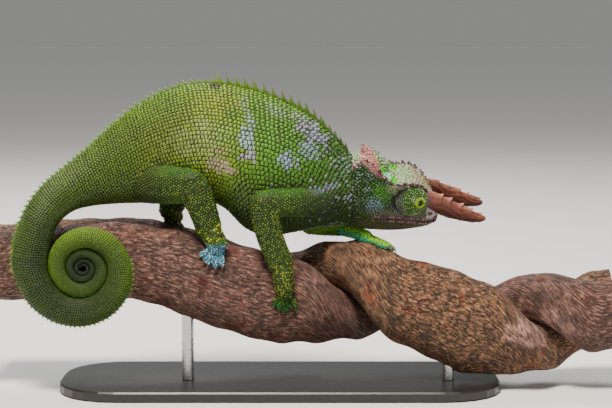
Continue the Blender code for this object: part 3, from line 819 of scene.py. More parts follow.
@dataclass
class Foot:
    """One foot: a palm and two opposed bundles of toes laid along the bark."""

    limb: Limb
    bark: BVHTree
    toe_radius: float = 1.9
    toe_lift: float = 0.8
    toe_fan: float = math.radians(9.0)
    toe_spread: float = 1.9
    taper: tuple[float, ...] = (1.0, 0.96, 0.9, 0.9, 0.86, 0.74)
    heel_lift: float = 0.72
    wrist_share: float = 0.86
    steps: int = 5
    toes: list[tuple[list[Vector], Vector, Vector]] = field(default_factory=list)

    def walk(self, start: Vector, heading: Vector, length: float) -> tuple[list[Vector], Vector, Vector]:
        """Follow the bark from a point.

        Args:
            start: A point on or near the bark.
            heading: The way to go, which is kept along the bark.
            length: How far to go.

        Returns:
            Points just over the bark, the last heading, and the bark's normal there.
        """
        place, normal, _, _ = self.bark.find_nearest(start)
        points = [place + normal * self.toe_radius * self.toe_lift]
        way = heading.normalized()
        for _ in range(self.steps):
            way = (way - normal * way.dot(normal)).normalized()
            place, normal, _, _ = self.bark.find_nearest(place + way * length / self.steps + normal * 0.2)
            points.append(place + normal * self.toe_radius * self.toe_lift)
        return points, way, normal

    def build(self) -> list[Object]:
        """Build the palm and the toes, and remember each toe's line for its claw.

        Returns:
            The palm and the toes.
        """
        wrist, tall, wide = self.limb.joints[-1]
        place, normal, _, _ = self.bark.find_nearest(Vector(self.limb.palm))
        radius = self.limb.palm_radius
        heel = place + normal * radius * self.heel_lift
        middle = Vector(wrist).lerp(heel, 0.55) + normal * 0.6
        joints = [(Vector(wrist), tall * self.wrist_share, wide * self.wrist_share),
                  (middle, radius, radius), (heel, radius, radius * 0.85)]
        made = [tube("palm", joints, 24, 16)]
        for heading, count, length in self.limb.bundles:
            for i in range(count):
                off = i - (count - 1) / 2
                across = normal.cross(Vector(heading)).normalized()
                way = Matrix.Rotation(-off * self.toe_fan, 3, normal) @ Vector(heading)
                start = place - across * off * self.toe_spread
                path, end, up = self.walk(start, way, length * (1 - 0.08 * abs(off)))
                sizes = [self.toe_radius * f for f in self.taper]
                made.append(tube("toe", [(p, s, s) for p, s in zip(path, sizes)], 20, 26))
                self.toes.append((path, end, up))
        return made


# Finishes


@dataclass(frozen=True)
class ScaleFinish:
    """Live reptile scale: thin keratin over pigment cells.

    The keratin is a clear, slightly waxy layer, so each scale has a soft highlight. Its crown is
    the lightest part and its foot is darkened: painted shade where the scales meet.
    """

    name: str = "keratin_scale"
    roughness: float = 0.43
    foot_shade: float = 0.06
    grain_mm: float = 0.35

    def material(self) -> Material:
        """Colour from the scale's own tint, with painted shade at its foot and fine grain."""
        material, add, shader = new_material(self.name)
        tint = add("Attribute", {"attribute_name": "tint"})
        rise = add("Attribute", {"attribute_name": "rise"}).outputs["Fac"]
        place = add("TexCoord").outputs["Object"]
        grain = add("TexNoise", {"Scale": 1 / (self.grain_mm * MM), "Detail": 2.0}, Vector=place)
        # painted shade: darker from the crown down to the scale's foot
        lift = add("MapRange",
                   {"From Min": 0.0, "From Max": 0.9, "To Min": self.foot_shade, "To Max": 1.0},
                   Value=rise)
        speck = add("MapRange", {"To Min": 0.8, "To Max": 1.2}, Value=grain)
        shade = add("Math", {"operation": "MULTIPLY"}, in0=lift, in1=speck)
        colour = add("VectorMath", {"operation": "SCALE"}, in0=tint, Scale=shade)
        bump = add("Bump", {"Strength": 0.25, "Distance": 0.00012}, Height=grain)
        wire(shader, {"Roughness": self.roughness, "IOR": 1.38}, Base_Color=colour, Normal=bump)
        return material


@dataclass(frozen=True)
class SkinFinish:
    """Bare skin between the scales: soft, matt, and darker than the scales that it carries, partly from
    painted shade.
    """

    name: str = "interstitial_skin"
    roughness: float = 0.62
    wrinkle_mm: float = 0.7

    def material(self) -> Material:
        """The markings' tint with fine wrinkles."""
        material, add, shader = new_material(self.name)
        tint = add("Attribute", {"attribute_name": "tint"})
        place = add("TexCoord").outputs["Object"]
        wrinkle = add("TexVoronoi", {"Scale": 1 / (self.wrinkle_mm * MM)}, Vector=place)
        bump = add("Bump", {"Strength": 0.5, "Distance": 0.0002}, Height=wrinkle)
        wire(shader, {"Roughness": self.roughness, "IOR": 1.33}, Base_Color=tint, Normal=bump)
        return material


@dataclass(frozen=True)
class CorneaFinish:
    """A wet cornea over the pupil: black and glassy, with a small highlight."""

    name: str = "wet_cornea"

    def material(self) -> Material:
        """Near-black with a clear wet coat."""
        material, _, shader = new_material(self.name)
        wire(shader, {"Base Color": rgba("#080604"), "Roughness": 0.22, "Coat Weight": 0.25,
                      "Coat Roughness": 0.06})
        return material


@dataclass(frozen=True)
class ClawFinish:
    """Claw keratin: dense, translucent horn, worn to a satin gloss."""

    name: str = "claw_keratin"

    def material(self) -> Material:
        """Brown horn with lengthwise streaks."""
        material, add, shader = new_material(self.name)
        place = add("TexCoord").outputs["Object"]
        streak = add("TexNoise", {"Scale": 1 / (0.5 * MM), "Detail": 3.0}, Vector=place)
        tone = colour_stops(add("ValToRGB", Fac=streak), [(0.3, "#2b2119"), (0.7, "#6a5846")])
        wire(shader, {"Roughness": 0.35}, Base_Color=tone)
        return material


@dataclass(frozen=True)
class BarkFinish:
    """Weathered liana bark: dry cork, paler on its crowns from rubbed wear and painted highlight, with
    painted shade in its fissures.
    """

    name: str
    dark: str
    middle: str
    pale: str
    stain: str
    fissure_mm: float
    streak: float
    fissure_depth: float
    bare: Point = (128.0, -18.0, 32.0)
    bare_reach: Point = (18.0, 14.0, 9.0)

    def material(self, length: float, girth: float) -> Material:
        """Build the bark's nodes on the strand's own UV map.

        Args:
            length: The strand's length in mm, which U spans.
            girth: The strand's girth in mm, which V spans.

        Returns:
            The material.
        """
        material, add, shader = new_material(self.name)
        uv = add("UVMap", {"uv_map": "UVMap"})
        place = add("TexCoord").outputs["Object"]
        lie = add("Mapping", {"Scale": (length, girth, 1.0)}, Vector=uv)
        stretched = add("Mapping", {"Scale": (1 / self.streak, 1.0, 1.0)}, Vector=lie)
        grain = add("TexNoise", {"Scale": 1.15, "Detail": 9.0, "Roughness": 0.75}, Vector=stretched)
        broad = add("TexNoise", {"Scale": 1 / (13 * MM), "Detail": 5.0, "Roughness": 0.65}, Vector=place)
        patchy = add("TexNoise", {"Scale": 1 / (5 * MM), "Detail": 3.0}, Vector=place)
        speck = add("TexNoise", {"Scale": 1 / (1.0 * MM), "Detail": 6.0, "Roughness": 0.75}, Vector=place)
        warp = add("VectorMath", {"operation": "SCALE", "Scale": 2.0}, in0=speck.outputs["Color"])
        bent = add("VectorMath", {"operation": "ADD"}, in0=stretched, in1=warp)
        crack = add("TexVoronoi", {"feature": "DISTANCE_TO_EDGE", "Scale": 1 / self.fissure_mm},
                    Vector=bent)
        # the grain's colour follows its bump height: pale crowns and dark hollows, partly rubbed wear,
        # partly painted highlight and shade
        tone = colour_stops(add("ValToRGB", Fac=grain),
                            [(0.35, self.dark), (0.5, self.middle), (0.65, self.pale)])
        stain_by = add("MapRange", {"From Min": 0.54, "From Max": 0.66}, Value=broad)
        stained = add("Mix", {"data_type": "RGBA", "blend_type": "OVERLAY", 7: rgba(self.stain)},
                      in0=stain_by, in6=tone)
        apart = add("VectorMath", {"operation": "SUBTRACT", 1: [v * MM for v in self.bare]}, in0=place)
        near = add("VectorMath", {"operation": "DIVIDE", 1: [v * MM for v in self.bare_reach]}, in0=apart)
        far = add("VectorMath", {"operation": "LENGTH"}, in0=near).outputs["Value"]
        ragged = add("Math", {"operation": "MULTIPLY_ADD", 1: 1.2}, in0=patchy, in2=far)
        bare_by = add("MapRange", {"From Min": 1.8, "From Max": 1.2, "To Max": 0.85}, Value=ragged)
        wood = colour_stops(add("ValToRGB", Fac=grain),
                            [(0.4, "#6e4034"), (0.5, "#b08478"), (0.6, "#dcb8ac")])
        peeled = add("Mix", {"data_type": "RGBA", "blend_type": "MIX"},
                     in0=bare_by, in6=stained.outputs[2], in7=wood)
        # painted shade: darker in the fissures
        edge = add("MapRange",
                   {"From Min": 0.0, "From Max": 0.15, "To Min": 1 - self.fissure_depth, "To Max": 1.0},
                   Value=crack)
        broken = add("MapRange", {"From Min": 0.36, "From Max": 0.5}, Value=patchy)
        gap = add("Mix", {"data_type": "FLOAT", 2: 1.0}, in0=broken, in3=edge)
        fleck = add("MapRange",
                    {"From Min": 0.34, "From Max": 0.66, "To Min": 0.66, "To Max": 1.3}, Value=speck)
        cloud = add("MapRange",
                    {"From Min": 0.32, "From Max": 0.66, "To Min": 0.48, "To Max": 1.4}, Value=broad)
        shade = add("Math", {"operation": "MULTIPLY"}, in0=gap, in1=fleck)
        shade = add("Math", {"operation": "MULTIPLY"}, in0=shade, in1=cloud)
        colour = add("VectorMath", {"operation": "SCALE"}, in0=peeled.outputs[2], Scale=shade)
        height = add("Math", {"operation": "MULTIPLY_ADD", 1: 1.1}, in0=grain, in2=gap)
        height = add("Math", {"operation": "MULTIPLY_ADD", 1: 0.9}, in0=speck, in2=height)
        bump = add("Bump", {"Strength": 1.0, "Distance": 0.0008}, Height=height)
        wire(shader, {"Roughness": 0.78}, Base_Color=colour, Normal=bump)
        return material


@dataclass(frozen=True)
class LacquerFinish:
    """Black satin lacquer on wood: even, slightly soft reflections with a trace of orange peel."""

    name: str = "black_lacquer"

    def material(self) -> Material:
        """Dark lacquer with a faint ripple."""
        material, add, shader = new_material(self.name)
        place = add("TexCoord").outputs["Object"]
        ripple = add("TexNoise", {"Scale": 1 / (4 * MM), "Detail": 2.0}, Vector=place)
        gloss = add("MapRange", {"To Min": 0.26, "To Max": 0.38}, Value=ripple)
        bump = add("Bump", {"Strength": 0.06, "Distance": 0.0002}, Height=ripple)
        wire(shader, {"Base Color": rgba("#1c1b1a")}, Roughness=gloss, Normal=bump)
        return material


@dataclass(frozen=True)
class SatinSteelFinish:
    """Turned steel rod: fine rings from the lathe give a soft, stretched highlight."""

    name: str = "turned_steel"

    def material(self) -> Material:
        """Metal with fine turning marks across the rod."""
        material, add, shader = new_material(self.name)
        place = add("TexCoord").outputs["Object"]
        mark = add("Mapping", {"Scale": (1.0, 1.0, 40.0)}, Vector=place)
        turn = add("TexNoise", {"Scale": 1 / (9 * MM), "Detail": 3.0}, Vector=mark)
        gloss = add("MapRange", {"To Min": 0.2, "To Max": 0.36}, Value=turn)
        wire(shader, {"Base Color": rgba("#b9babc"), "Metallic": 1.0}, Roughness=gloss)
        return material


@dataclass(frozen=True)
class FloorFinish:
    """A plain pale studio floor, matt paint."""

    name: str = "matt_paint"
    colour: str = "#d9d9d6"

    def material(self) -> Material:
        """Even matt colour with a trace of unevenness."""
        material, add, shader = new_material(self.name)
        place = add("TexCoord").outputs["Object"]
        cloud = add("TexNoise", {"Scale": 1.5, "Detail": 2.0}, Vector=place)
        gloss = add("MapRange", {"To Min": 0.78, "To Max": 0.88}, Value=cloud)
        wire(shader, {"Base Color": rgba(self.colour)}, Roughness=gloss)
        return material


# Markings


@dataclass(frozen=True)
class Patch:
    """A blotch of colour on the flank, where whole scales take its colour."""

    x: float
    z: float
    half_x: float
    half_z: float
    turn: float
    colour: str
    strength: float = 0.8

    def reach(self, x: float, z: float) -> float:
        """How far out a point is, with 1 at the blotch's edge."""
        c, s = math.cos(math.radians(self.turn)), math.sin(math.radians(self.turn))
        dx, dz = x - self.x, z - self.z
        return math.hypot((dx * c + dz * s) / self.half_x, (dz * c - dx * s) / self.half_z)


@dataclass
class Markings:
    """The animal's colours, read at a place on its skin."""

    line: TrunkLine
    head: HeadFrame
    richness: float = 1.5
    depth: float = 0.8
    patches: tuple[Patch, ...] = (
        Patch(-34, 125, 24, 13, 0, "#9fb28a", 0.55),
        Patch(-26, 145, 10, 8, 0, "#a9b548", 0.6),
        Patch(-17, 142, 3.2, 8, 5, "#a8bca6", 0.7),
        Patch(-15.5, 127, 4.4, 9.5, 0, "#aec3c8", 0.9),
        Patch(-15.5, 117, 5.0, 3.2, 0, "#b9b4c4", 0.95),
        Patch(-28, 112, 9.0, 4.0, -12, "#bfb0a2", 0.9),
        Patch(-30, 120, 5.0, 3.0, 0, "#b5a08a", 0.6),
        Patch(-3, 139, 7.0, 4.0, -25, "#9fb8a6", 0.65),
        Patch(4.5, 115, 5.5, 6.8, 0, "#a9b6d0", 0.95),
        Patch(15.5, 129, 11.5, 5.5, -38, "#b1b2c4", 0.92),
        Patch(15.0, 120.5, 6.5, 5.0, -20, "#a0b4be", 0.75),
        Patch(-4.5, 101.5, 3.6, 2.2, 0, "#a9b3bd", 0.7),
        Patch(21.0, 101.0, 8.0, 2.8, 10, "#aab2c2", 0.75),
        Patch(31.0, 112.0, 5.5, 8.0, 0, "#86a292", 0.4),
        Patch(-32, 152.0, 4.0, 2.6, 0, "#4b3a3c", 0.95),
        Patch(-81, 115.5, 1.1, 1.1, 0, "#20201c", 1.0),
    )

    def torso(self, p: Vector, wobble: float, luck: float) -> np.ndarray:
        """Colour of the neck and torso.

        Args:
            p: Place in mm.
            wobble: Noise that makes a blotch's edge ragged.
            luck: This scale's own draw, from 0 to 1.

        Returns:
            The linear colour.
        """
        colour = ramp([(-90, "#4c5a2c"), (-58, "#566432"), (-36, "#748348"), (-20, "#5c7420"),
                       (-6, "#527012"), (14, "#4e6c22"), (34, "#3e5828")], p.x)
        # painted shade: the lower flank and belly darken towards the bottom
        low = 0.92 * (1 - smoothstep(86, 117, p.z + wobble * 6))
        colour = blend(colour, "#2b3806", low)
        ridge = smoothstep(9, 1.5, abs(p.y)) * smoothstep(118, 140, p.z)
        colour = blend(colour, "#6c8a2c", 0.6 * ridge)
        for patch in self.patches:
            reach = patch.reach(p.x, p.z) + 0.6 * wobble + 0.62 * (luck - 0.5)
            if reach < 1:
                share = patch.strength * smoothstep(1.0, 0.55, reach) * (0.76 + 0.24 * luck)
                colour = blend(colour, to_linear(patch.colour) * 0.55, share)
        if p.x > 12 and luck > 0.95 - 0.013 * max(0.0, p.x - 19):
            colour = blend(colour, "#8a8e9a", 0.55)
        return colour

    def tail(self, t: float, outward: float) -> np.ndarray:
        """Colour of the tail: grey-green at its root, bright on the coil's outer turn, with painted shade
        on the inside of the bend and on the inner turns.

        Args:
            t: The trunk station.
            outward: From -1 on the inside of the bend to 1 on its outside.

        Returns:
            The linear colour.
        """
        coil = self.line.coil_start
        # the inner turns darken towards the tip: partly their own deep green, partly painted shade of the
        # recessed coil
        colour = ramp([(self.line.hip, "#5e6c3a"), (11, "#586434"), (13, "#4a5622"), (coil, "#424e16"),
                       (coil + 3, "#465210"), (coil + 6, "#5c6c08"), (coil + 9, "#7a8c08"),
                       (coil + 12, "#647808"), (coil + 18, "#465806"), (coil + 26, "#2c3a04"),
                       (coil + 38, "#1c2604")], t)
        band = 1 + 0.16 * noise.noise(Vector((t * 4.0, 3.0, 0)))
        # painted shade: darker on the inside of the bend, lighter on its outside
        return colour * np.array((0.88, 1.0, 0.9)) * band * (0.56 + 0.42 * smoothstep(-0.6, 1.0, outward))

    def leg(self, name: str, luck: float, up: float, size: float, station: float) -> np.ndarray:
        """Colour of the legs: yellow-green granules on a dark ground, with painted light making the upper
        sides greener and painted shade lower down.

        Args:
            name: The CAD node.
            luck: The scale's own draw, from 0 to 1.
            up: How far the skin faces up there.
            size: The scale's length, which tells spots from ground.
            station: How far down the leg it lies, in joints.

        Returns:
            The linear colour.
        """
        lower = smoothstep(1.3, 2.3, station)
        # painted shade: the small granules darken a little down the leg
        if size < 1.0:
            colour = pick(luck, "#4c5e12", 0.5, "#3a4a0c") * (1 - 0.1 * lower)
        else:
            dots = pick(luck, "#728216", 0.45, "#566c12")
            colour = blend(pick(luck, "#627f16", 0.5, "#527010"), dots, lower)
        # the far arm: its own pale green, made paler as painted light against the head's shadow
        if name.startswith("front_left"):
            return pick(luck, "#a4cf6c", 0.4, "#6fae7c")
        # painted top light: skin that faces up turns a brighter green
        return blend(colour, pick(luck, "#6a9c10", 0.4, "#406c08"), 0.6 * smoothstep(0.3, 0.95, up))

    def foot(self, p: Vector, name: str, luck: float, up: float) -> np.ndarray:
        """Colour of the feet, each in its own way.

        Args:
            p: A place in mm.
            name: The CAD node.
            luck: The scale's own draw, from 0 to 1.
            up: How far the skin faces up there.

        Returns:
            The linear colour.
        """
        if name.startswith("hind"):
            blue = smoothstep(76.5, 72.5, p.z + 2 * (luck - 0.5))
            spots = pick(luck, "#d2cc80", 0.66, "#6c8a24", 0.35, "#33460f")
            blues = pick(luck, "#c6dee6", 0.62, "#7cb0c6", 0.2, "#3c5a6c")
            off = abs(p.z - 80.6 + 0.2 * (p.x + 35))
            # painted shade: a dark crease line across the right hind ankle
            ankle_crease_shade = 0.8 * smoothstep(1.1, 0.3, off) * (name == "hind_right_foot")
            return blend(spots, blues, blue) * (1 - ankle_crease_shade)
        # the far hand: lime with teal edges, brightened as painted light against the head's shadow
        if name == "front_left_hand":
            edge = smoothstep(0.45, 0.0, up + 0.5 * (luck - 0.5))
            return blend(pick(luck, "#bdec3a", 0.3, "#86c028"), "#7fdcc4", 0.8 * edge)
        tip = smoothstep(51, 44, p.z + 2 * (luck - 0.5))
        spots = pick(luck, "#96a426", 0.5, "#56681a", 0.25, "#242e0c")
        return blend(spots, pick(luck, "#488638", 0.5, "#28542a"), tip)

    def face(self, p: Vector, luck: float) -> np.ndarray:
        """Colour of the head, by its own upright frame.

        Args:
            p: A place in mm.
            luck: The scale's own draw, from 0 to 1.

        Returns:
            The linear colour.
        """
        x, w, h = self.head.local(p)
        crest = spline_at_x(self.head.crest, x)
        lip = spline_at_x(self.head.lip, x)
        above = h - crest[2]
        if self.on_peak(x, h) > luck * 0.6 + 0.2:
            bare = pick(luck, "#c09a92", 0.5, "#a98480")
            return blend(to_linear("#7e5e62"), bare, smoothstep(12, 20, h))
        if above > -1.6 and abs(abs(w) - crest[1]) < 1.9:
            return pick(luck, "#86706e", 0.5, "#c4b6b0", 0.25, "#4a3634")
        if abs(w) < crest[1] - 0.6 and above > -7:
            roof = pick(luck, "#a3b494", 0.45, "#829a78", 0.15, "#b8b4a8")
            seen = 0.906 * h - 0.4226 * abs(w)
            down = min(max((x - 48.5 - seen + 12.5) / 16, 0.0), 1.0)
            off = math.hypot(x - 48.5 - 8 * down, seen - 12.5 + 8 * down)
            vivid = smoothstep(3.2, 1.6, off + 1.2 * luck)
            pale = smoothstep(2.6, 1.2, math.hypot(x - 53.0, seen - 7.6))
            front = 0.75 * smoothstep(65, 69, x + 3 * luck)
            roof = blend(roof, pick(luck, "#a8988c", 0.3, "#7e9040"), front)
            return blend(blend(roof, "#76bc10", vivid), "#b0e4e2", pale)
        bulge = self.head.from_nostril(p)
        # painted shade: the nostril's hollow is near-black
        if bulge < 1.15:
            return to_linear("#120d0c")
        if bulge < 4.2 and h > lip[2] + 1.6 and x > 73.0:
            return pick(luck, "#d2cacc", 0.35, "#a89c9e")
        # the lower jaw: olive-grey, darkening towards its underside as painted shade
        if h < lip[2] - 1.6:
            return ramp([(-24, "#3e3c2c"), (-16, "#5a5844")], h) * (0.8 + 0.35 * luck)
        if h < lip[2] + 2.2 and x > 44:
            lips = smoothstep(44, 50, x + 4 * (luck - 0.5))
            return blend(to_linear("#4c5a2a"), pick(luck, "#84706f", 0.4, "#564446"), lips)
        if x > 71.5:
            return pick(luck, "#5e5a40", 0.4, "#83807a")
        colour = pick(luck, "#426410", 0.55, "#2e4a0c", 0.28, "#6e7e7c")
        bright = smoothstep(7.5, 3.0, math.hypot(x - 52.0, (h - 5.0) * 1.2))
        colour = blend(colour, "#5f8e12", 0.7 * bright)
        # painted shade in the crease round the foot of the eye turret
        socket = smoothstep(10.4, 8.9, self.head.from_eye(x, h))
        colour = colour * (1 - 0.8 * socket)
        grey = smoothstep(6.5, 2.5, math.hypot(x - 46.5, (h + 2.5) * 0.9)) * (0.5 + 0.5 * luck)
        colour = blend(colour, "#71868e", grey)
        low = smoothstep(lip[2] + 7.5, lip[2] + 3, h) * smoothstep(40, 47, x)
        return blend(colour, pick(luck, "#7c8070", 0.35, "#8f8288"), 0.85 * low)

    def on_peak(self, x: float, h: float) -> float:
        """How far a place of the head's frame lies on the casque's bare peak.

        Args:
            x: The place along the row.
            h: The height above the pivot.

        Returns:
            From 0 off it to 1 on it.
        """
        front = 50.5 - 0.5 * (h - 14)
        above = smoothstep(-1.3, 1.3, h - 20.4 + 1.05 * (x - 40)) * smoothstep(10, 14, h)
        return above * smoothstep(front + 1, front - 1, x)

    def at(self, p: Vector, name: str, t: float, up: float, luck: float, size: float) -> np.ndarray:
        """The colour at a place.

        Args:
            p: Place in mm.
            name: The CAD node that lies there.
            t: The nearest trunk station.
            up: How far the skin faces up there.
            luck: The scale's own draw, from 0 to 1.
            size: The scale's length, or 0 for bare skin.

        Returns:
            The linear colour.
        """
        wobble = noise.noise(p * 0.2)
        region = region_of(name)
        if region is Region.FOOT:
            colour = self.foot(p, name, luck, up)
        else:
            colour = self.torso(p, wobble, luck)
            if region is Region.HEAD:
                share = smoothstep(34, 45, p.x + 4 * (luck - 0.5))
                share = max(share, smoothstep(9, 12, self.head.local(p)[2]))
                colour = blend(colour, self.face(p, luck), share)
            elif region in (Region.ARM, Region.LEG):
                station = limb_station(p, name) + 0.3 * (luck - 0.5)
                leg = self.leg(name, luck, up, size, station)
                colour = blend(colour, leg, smoothstep(0.5, 1.6, station))
            elif t > self.line.hip - 1:
                centre, half, _, _, _ = self.line.frame(t)
                outward = (p - centre).dot(half.normalized()) / half.length
                share = smoothstep(self.line.hip - 1, self.line.hip + 1, t)
                colour = blend(colour, self.tail(t, outward), share)
        colour = colour * self.depth * (1 + 0.14 * noise.noise(p * 0.09 + Vector((40, 0, 0))))
        grey = float(colour @ np.array((0.21, 0.72, 0.07)))
        return np.maximum(grey + (colour - grey) * self.richness, 0.002)


def limb_station(p: Vector, name: str) -> float:
    """How far down its leg a place lies, counted in joints.

    Args:
        p: A place in mm.
        name: A CAD node of that leg.

    Returns:
        From 0 at hip or shoulder to 4 at the wrist.
    """
    limb = next(limb for limb in LIMBS if name.startswith(limb.name))
    places = [Vector(joint[0]) for joint in limb.joints]
    best, found = math.inf, 0.0
    for i, (a, b) in enumerate(zip(places, places[1:])):
        share = min(max((p - a).dot(b - a) / (b - a).length_squared, 0.0), 1.0)
        away = (p - a.lerp(b, share)).length
        if away < best:
            best, found = away, i + share
    return found


def region_of(name: str) -> Region:
    """The region that a CAD node belongs to.

    Args:
        name: The node's name.

    Returns:
        The region.
    """
    if name == "head":
        return Region.HEAD
    if name.startswith("tail"):
        return Region.TAIL
    if name.endswith(("hand", "foot")):
        return Region.FOOT
    if name.startswith("front"):
        return Region.ARM
    if name.startswith("hind"):
        return Region.LEG
    return Region.TORSO


def flesh_nodes() -> list[str]:
    """The CAD nodes that the one skin stands in for."""
    return [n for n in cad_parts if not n.startswith(("eye", "horn", "perch", "stand"))]


# Skin and scales


@dataclass
class Skin:
    """The one skin of the animal, which lies inside the flesh nodes by the scales' depth.

    Body, feet and tail are closed on their own, so that the fine toes and the turns of the tail
    stay apart, and each runs a little into the next.
    """

    line: TrunkLine
    head: HeadFrame
    feet: list[Foot]
    voxel: float = 0.5
    foot_voxel: float = 0.3
    overlap: float = 0.3
    neck_smoothing: int = 60
    depth: float = 0.5
    foot_depth: float = 0.3
    smoothing: int = 7
    foot_smoothing: int = 4
    most: int = 96_000
    foot_most: int = 32_000
    tail_from: float = 14.4
    around: int = 80
    nostril_radius: float = 1.05
    nostril_depth: float = 2.0
    mouth_depth: float = 0.8
    mouth_half: float = 0.75
    foot_trees: dict[str, BVHTree] = field(default_factory=dict)
    obj: Object | None = None

    def build(self) -> Object:
        """Close the body, the feet and the tail, and join them.

        Returns:
            The skin.
        """
        forms = [self.trunk(0.0, self.tail_from + 0.5, 330, 0.0)]
        for name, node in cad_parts.items():
            if name == "head" or name.endswith(("arm", "thigh", "shank")):
                forms.append(self.grown_copy(node))
        for side in Side:
            x, w, h = self.head.nostril
            inner = self.head.point(x, side.value * (w - 2.6), h + 1.0)
            outer = self.head.point(x + 2.6, side.value * (w - 1.9), h + 0.6)
            forms.append(tube("nostril", [(inner, 2.9, 2.9), (outer, 2.5, 2.5)], 16, 12))
        body = self.closed(forms, self.voxel, self.smoothing, self.depth, self.most)
        self.ease_neck(body)
        self.carve(body)
        toes = []
        for foot in self.feet:
            made = foot.build()
            self.foot_trees[foot.limb.foot] = surface_tree(made)
            toes += made
        feet = self.closed(toes, self.foot_voxel, self.foot_smoothing, self.foot_depth, self.foot_most)
        tail = self.trunk(self.tail_from, self.line.last, 400, self.depth * 0.2)
        obj = join("skin", [body, feet, tail])
        for layer in list(obj.data.uv_layers):
            obj.data.uv_layers.remove(layer)
        smooth_shade(obj, 180.0)
        self.obj = obj
        return obj

    def closed(self, forms: list[Object], voxel: float, smoothing: int, depth: float,
               most: int) -> Object:
        """Melt forms into one closed surface.

        Args:
            forms: Closed forms that overlap.
            voxel: The fineness of the surface.
            smoothing: How many times it is smoothed.
            depth: How far it is drawn in.
            most: The most triangles that it may have.

        Returns:
            The surface.
        """
        obj = join("flesh", forms)
        apply_modifier(obj, "REMESH", mode="VOXEL", voxel_size=voxel * MM)
        apply_modifier(obj, "SMOOTH", factor=0.5, iterations=smoothing)
        apply_modifier(obj, "DISPLACE", strength=-depth * MM, mid_level=0.0)
        triangles = sum(len(p.vertices) - 2 for p in obj.data.polygons)
        if triangles > most:
            apply_modifier(obj, "DECIMATE", ratio=most / triangles)
        return obj

    def trunk(self, first: float, last: float, along: int, inset: float) -> Object:
        """A length of the trunk as a closed tube, drawn in at its ends where they are hidden.

        Args:
            first: The first station.
            last: The last station.
            along: Cells along it.
            inset: How far it is drawn in, in mm.

        Returns:
            The tube.
        """
        if first > 0:
            first -= 0.3

        def ring(share: float) -> np.ndarray:
            """A section of the trunk."""
            t = first + (last - first) * share
            hidden = smoothstep(-0.01, 0.012, share) if first > 0 else 1.0
            scale = min(hidden, math.sqrt(max(1 - smoothstep(last - 0.6, last, t) ** 2, 0.03)))
            points = self.line.ring(t, self.around, 0.75 + 0.25 * scale if t < 20 else scale, inset)
            return points + np.array((1.2, 0, 0)) if t == 0.0 else points

        return wrapped_grid("trunk", self.around, along, ring)

    def grown_copy(self, node: Object) -> Object:
        """A merged copy of a CAD node, grown enough to meet its neighbours.

        Args:
            node: The CAD node.

        Returns:
            The copy.
        """
        copy = placed(node.name + "_form", node.data.copy())
        copy.data.materials.clear()
        with editing(copy):
            bpy.ops.mesh.remove_doubles(threshold=1e-6)
        apply_modifier(copy, "DISPLACE", strength=self.overlap * MM, mid_level=0.0)
        return copy

    def ease_neck(self, body: Object) -> None:
        """Melt the step where the neck meets the head.

        Args:
            body: The body.
        """
        group = body.vertex_groups.new(name="neck")
        for vertex in body.data.vertices:
            p = vertex.co / MM
            share = smoothstep(5.0, 1.5, abs(p.x - self.head.back)) * smoothstep(80, 84, p.z)
            if share:
                group.add([vertex.index], share, "REPLACE")
        apply_modifier(body, "SMOOTH", factor=0.5, iterations=self.neck_smoothing, vertex_group="neck")
        body.vertex_groups.clear()

    def carve(self, body: Object) -> None:
        """Press the line of the mouth and the nostrils into the body.

        Args:
            body: The body.
        """
        for vertex in body.data.vertices:
            p = vertex.co / MM
            if p.x < self.head.mouth_corner or p.z < 70 or abs(p.y) > 20:
                continue
            x, w, h = self.head.local(p)
            hollow = self.head.from_nostril(p) / self.nostril_radius
            off = abs(h - spline_at_x(self.head.lip, min(x, self.head.snout))[2]) / self.mouth_half
            sink = 0.0
            if hollow < 1:
                sink = self.nostril_depth * (1 - hollow**3)
            elif off < 1 and abs(w) > 1.0:
                sink = self.mouth_depth * (1 - off**2) * smoothstep(0, 3, x - self.head.mouth_corner)
            if sink:
                vertex.co = (p - vertex.normal * sink) * MM


@dataclass
class Seed:
    """One scale's root: its place, its lie and its size."""

    place: Vector
    normal: Vector
    along: Vector
    length: float
    width: float
    height: float
    form: Form
    name: str
    t: float
    uv: tuple[float, float]


@dataclass
class Crowd:
    """The roots placed so far, in cells, so that none is set too near another."""

    cell: float = 2.4
    cells: dict[tuple[int, int, int], list[tuple[float, float, float, float]]] = field(default_factory=dict)

    def key(self, p: Vector) -> tuple[int, int, int]:
        """The cell that holds a place."""
        return int(p.x // self.cell), int(p.y // self.cell), int(p.z // self.cell)

    def fits(self, p: Vector, radius: float) -> bool:
        """Whether a scale of that radius has room at p.

        Args:
            p: A place in mm.
            radius: The radius in mm.

        Returns:
            Whether there is room.
        """
        kx, ky, kz = self.key(p)
        x, y, z = p
        for ix in (kx, kx - 1, kx + 1):
            for iy in (ky, ky - 1, ky + 1):
                for iz in (kz, kz - 1, kz + 1):
                    for ox, oy, oz, other in self.cells.get((ix, iy, iz), ()):
                        if (ox - x) ** 2 + (oy - y) ** 2 + (oz - z) ** 2 < (radius + other) ** 2:
                            return False
        return True

    def add(self, p: Vector, radius: float) -> None:
        """Remember a scale of that radius at p."""
        self.cells.setdefault(self.key(p), []).append((p.x, p.y, p.z, radius))


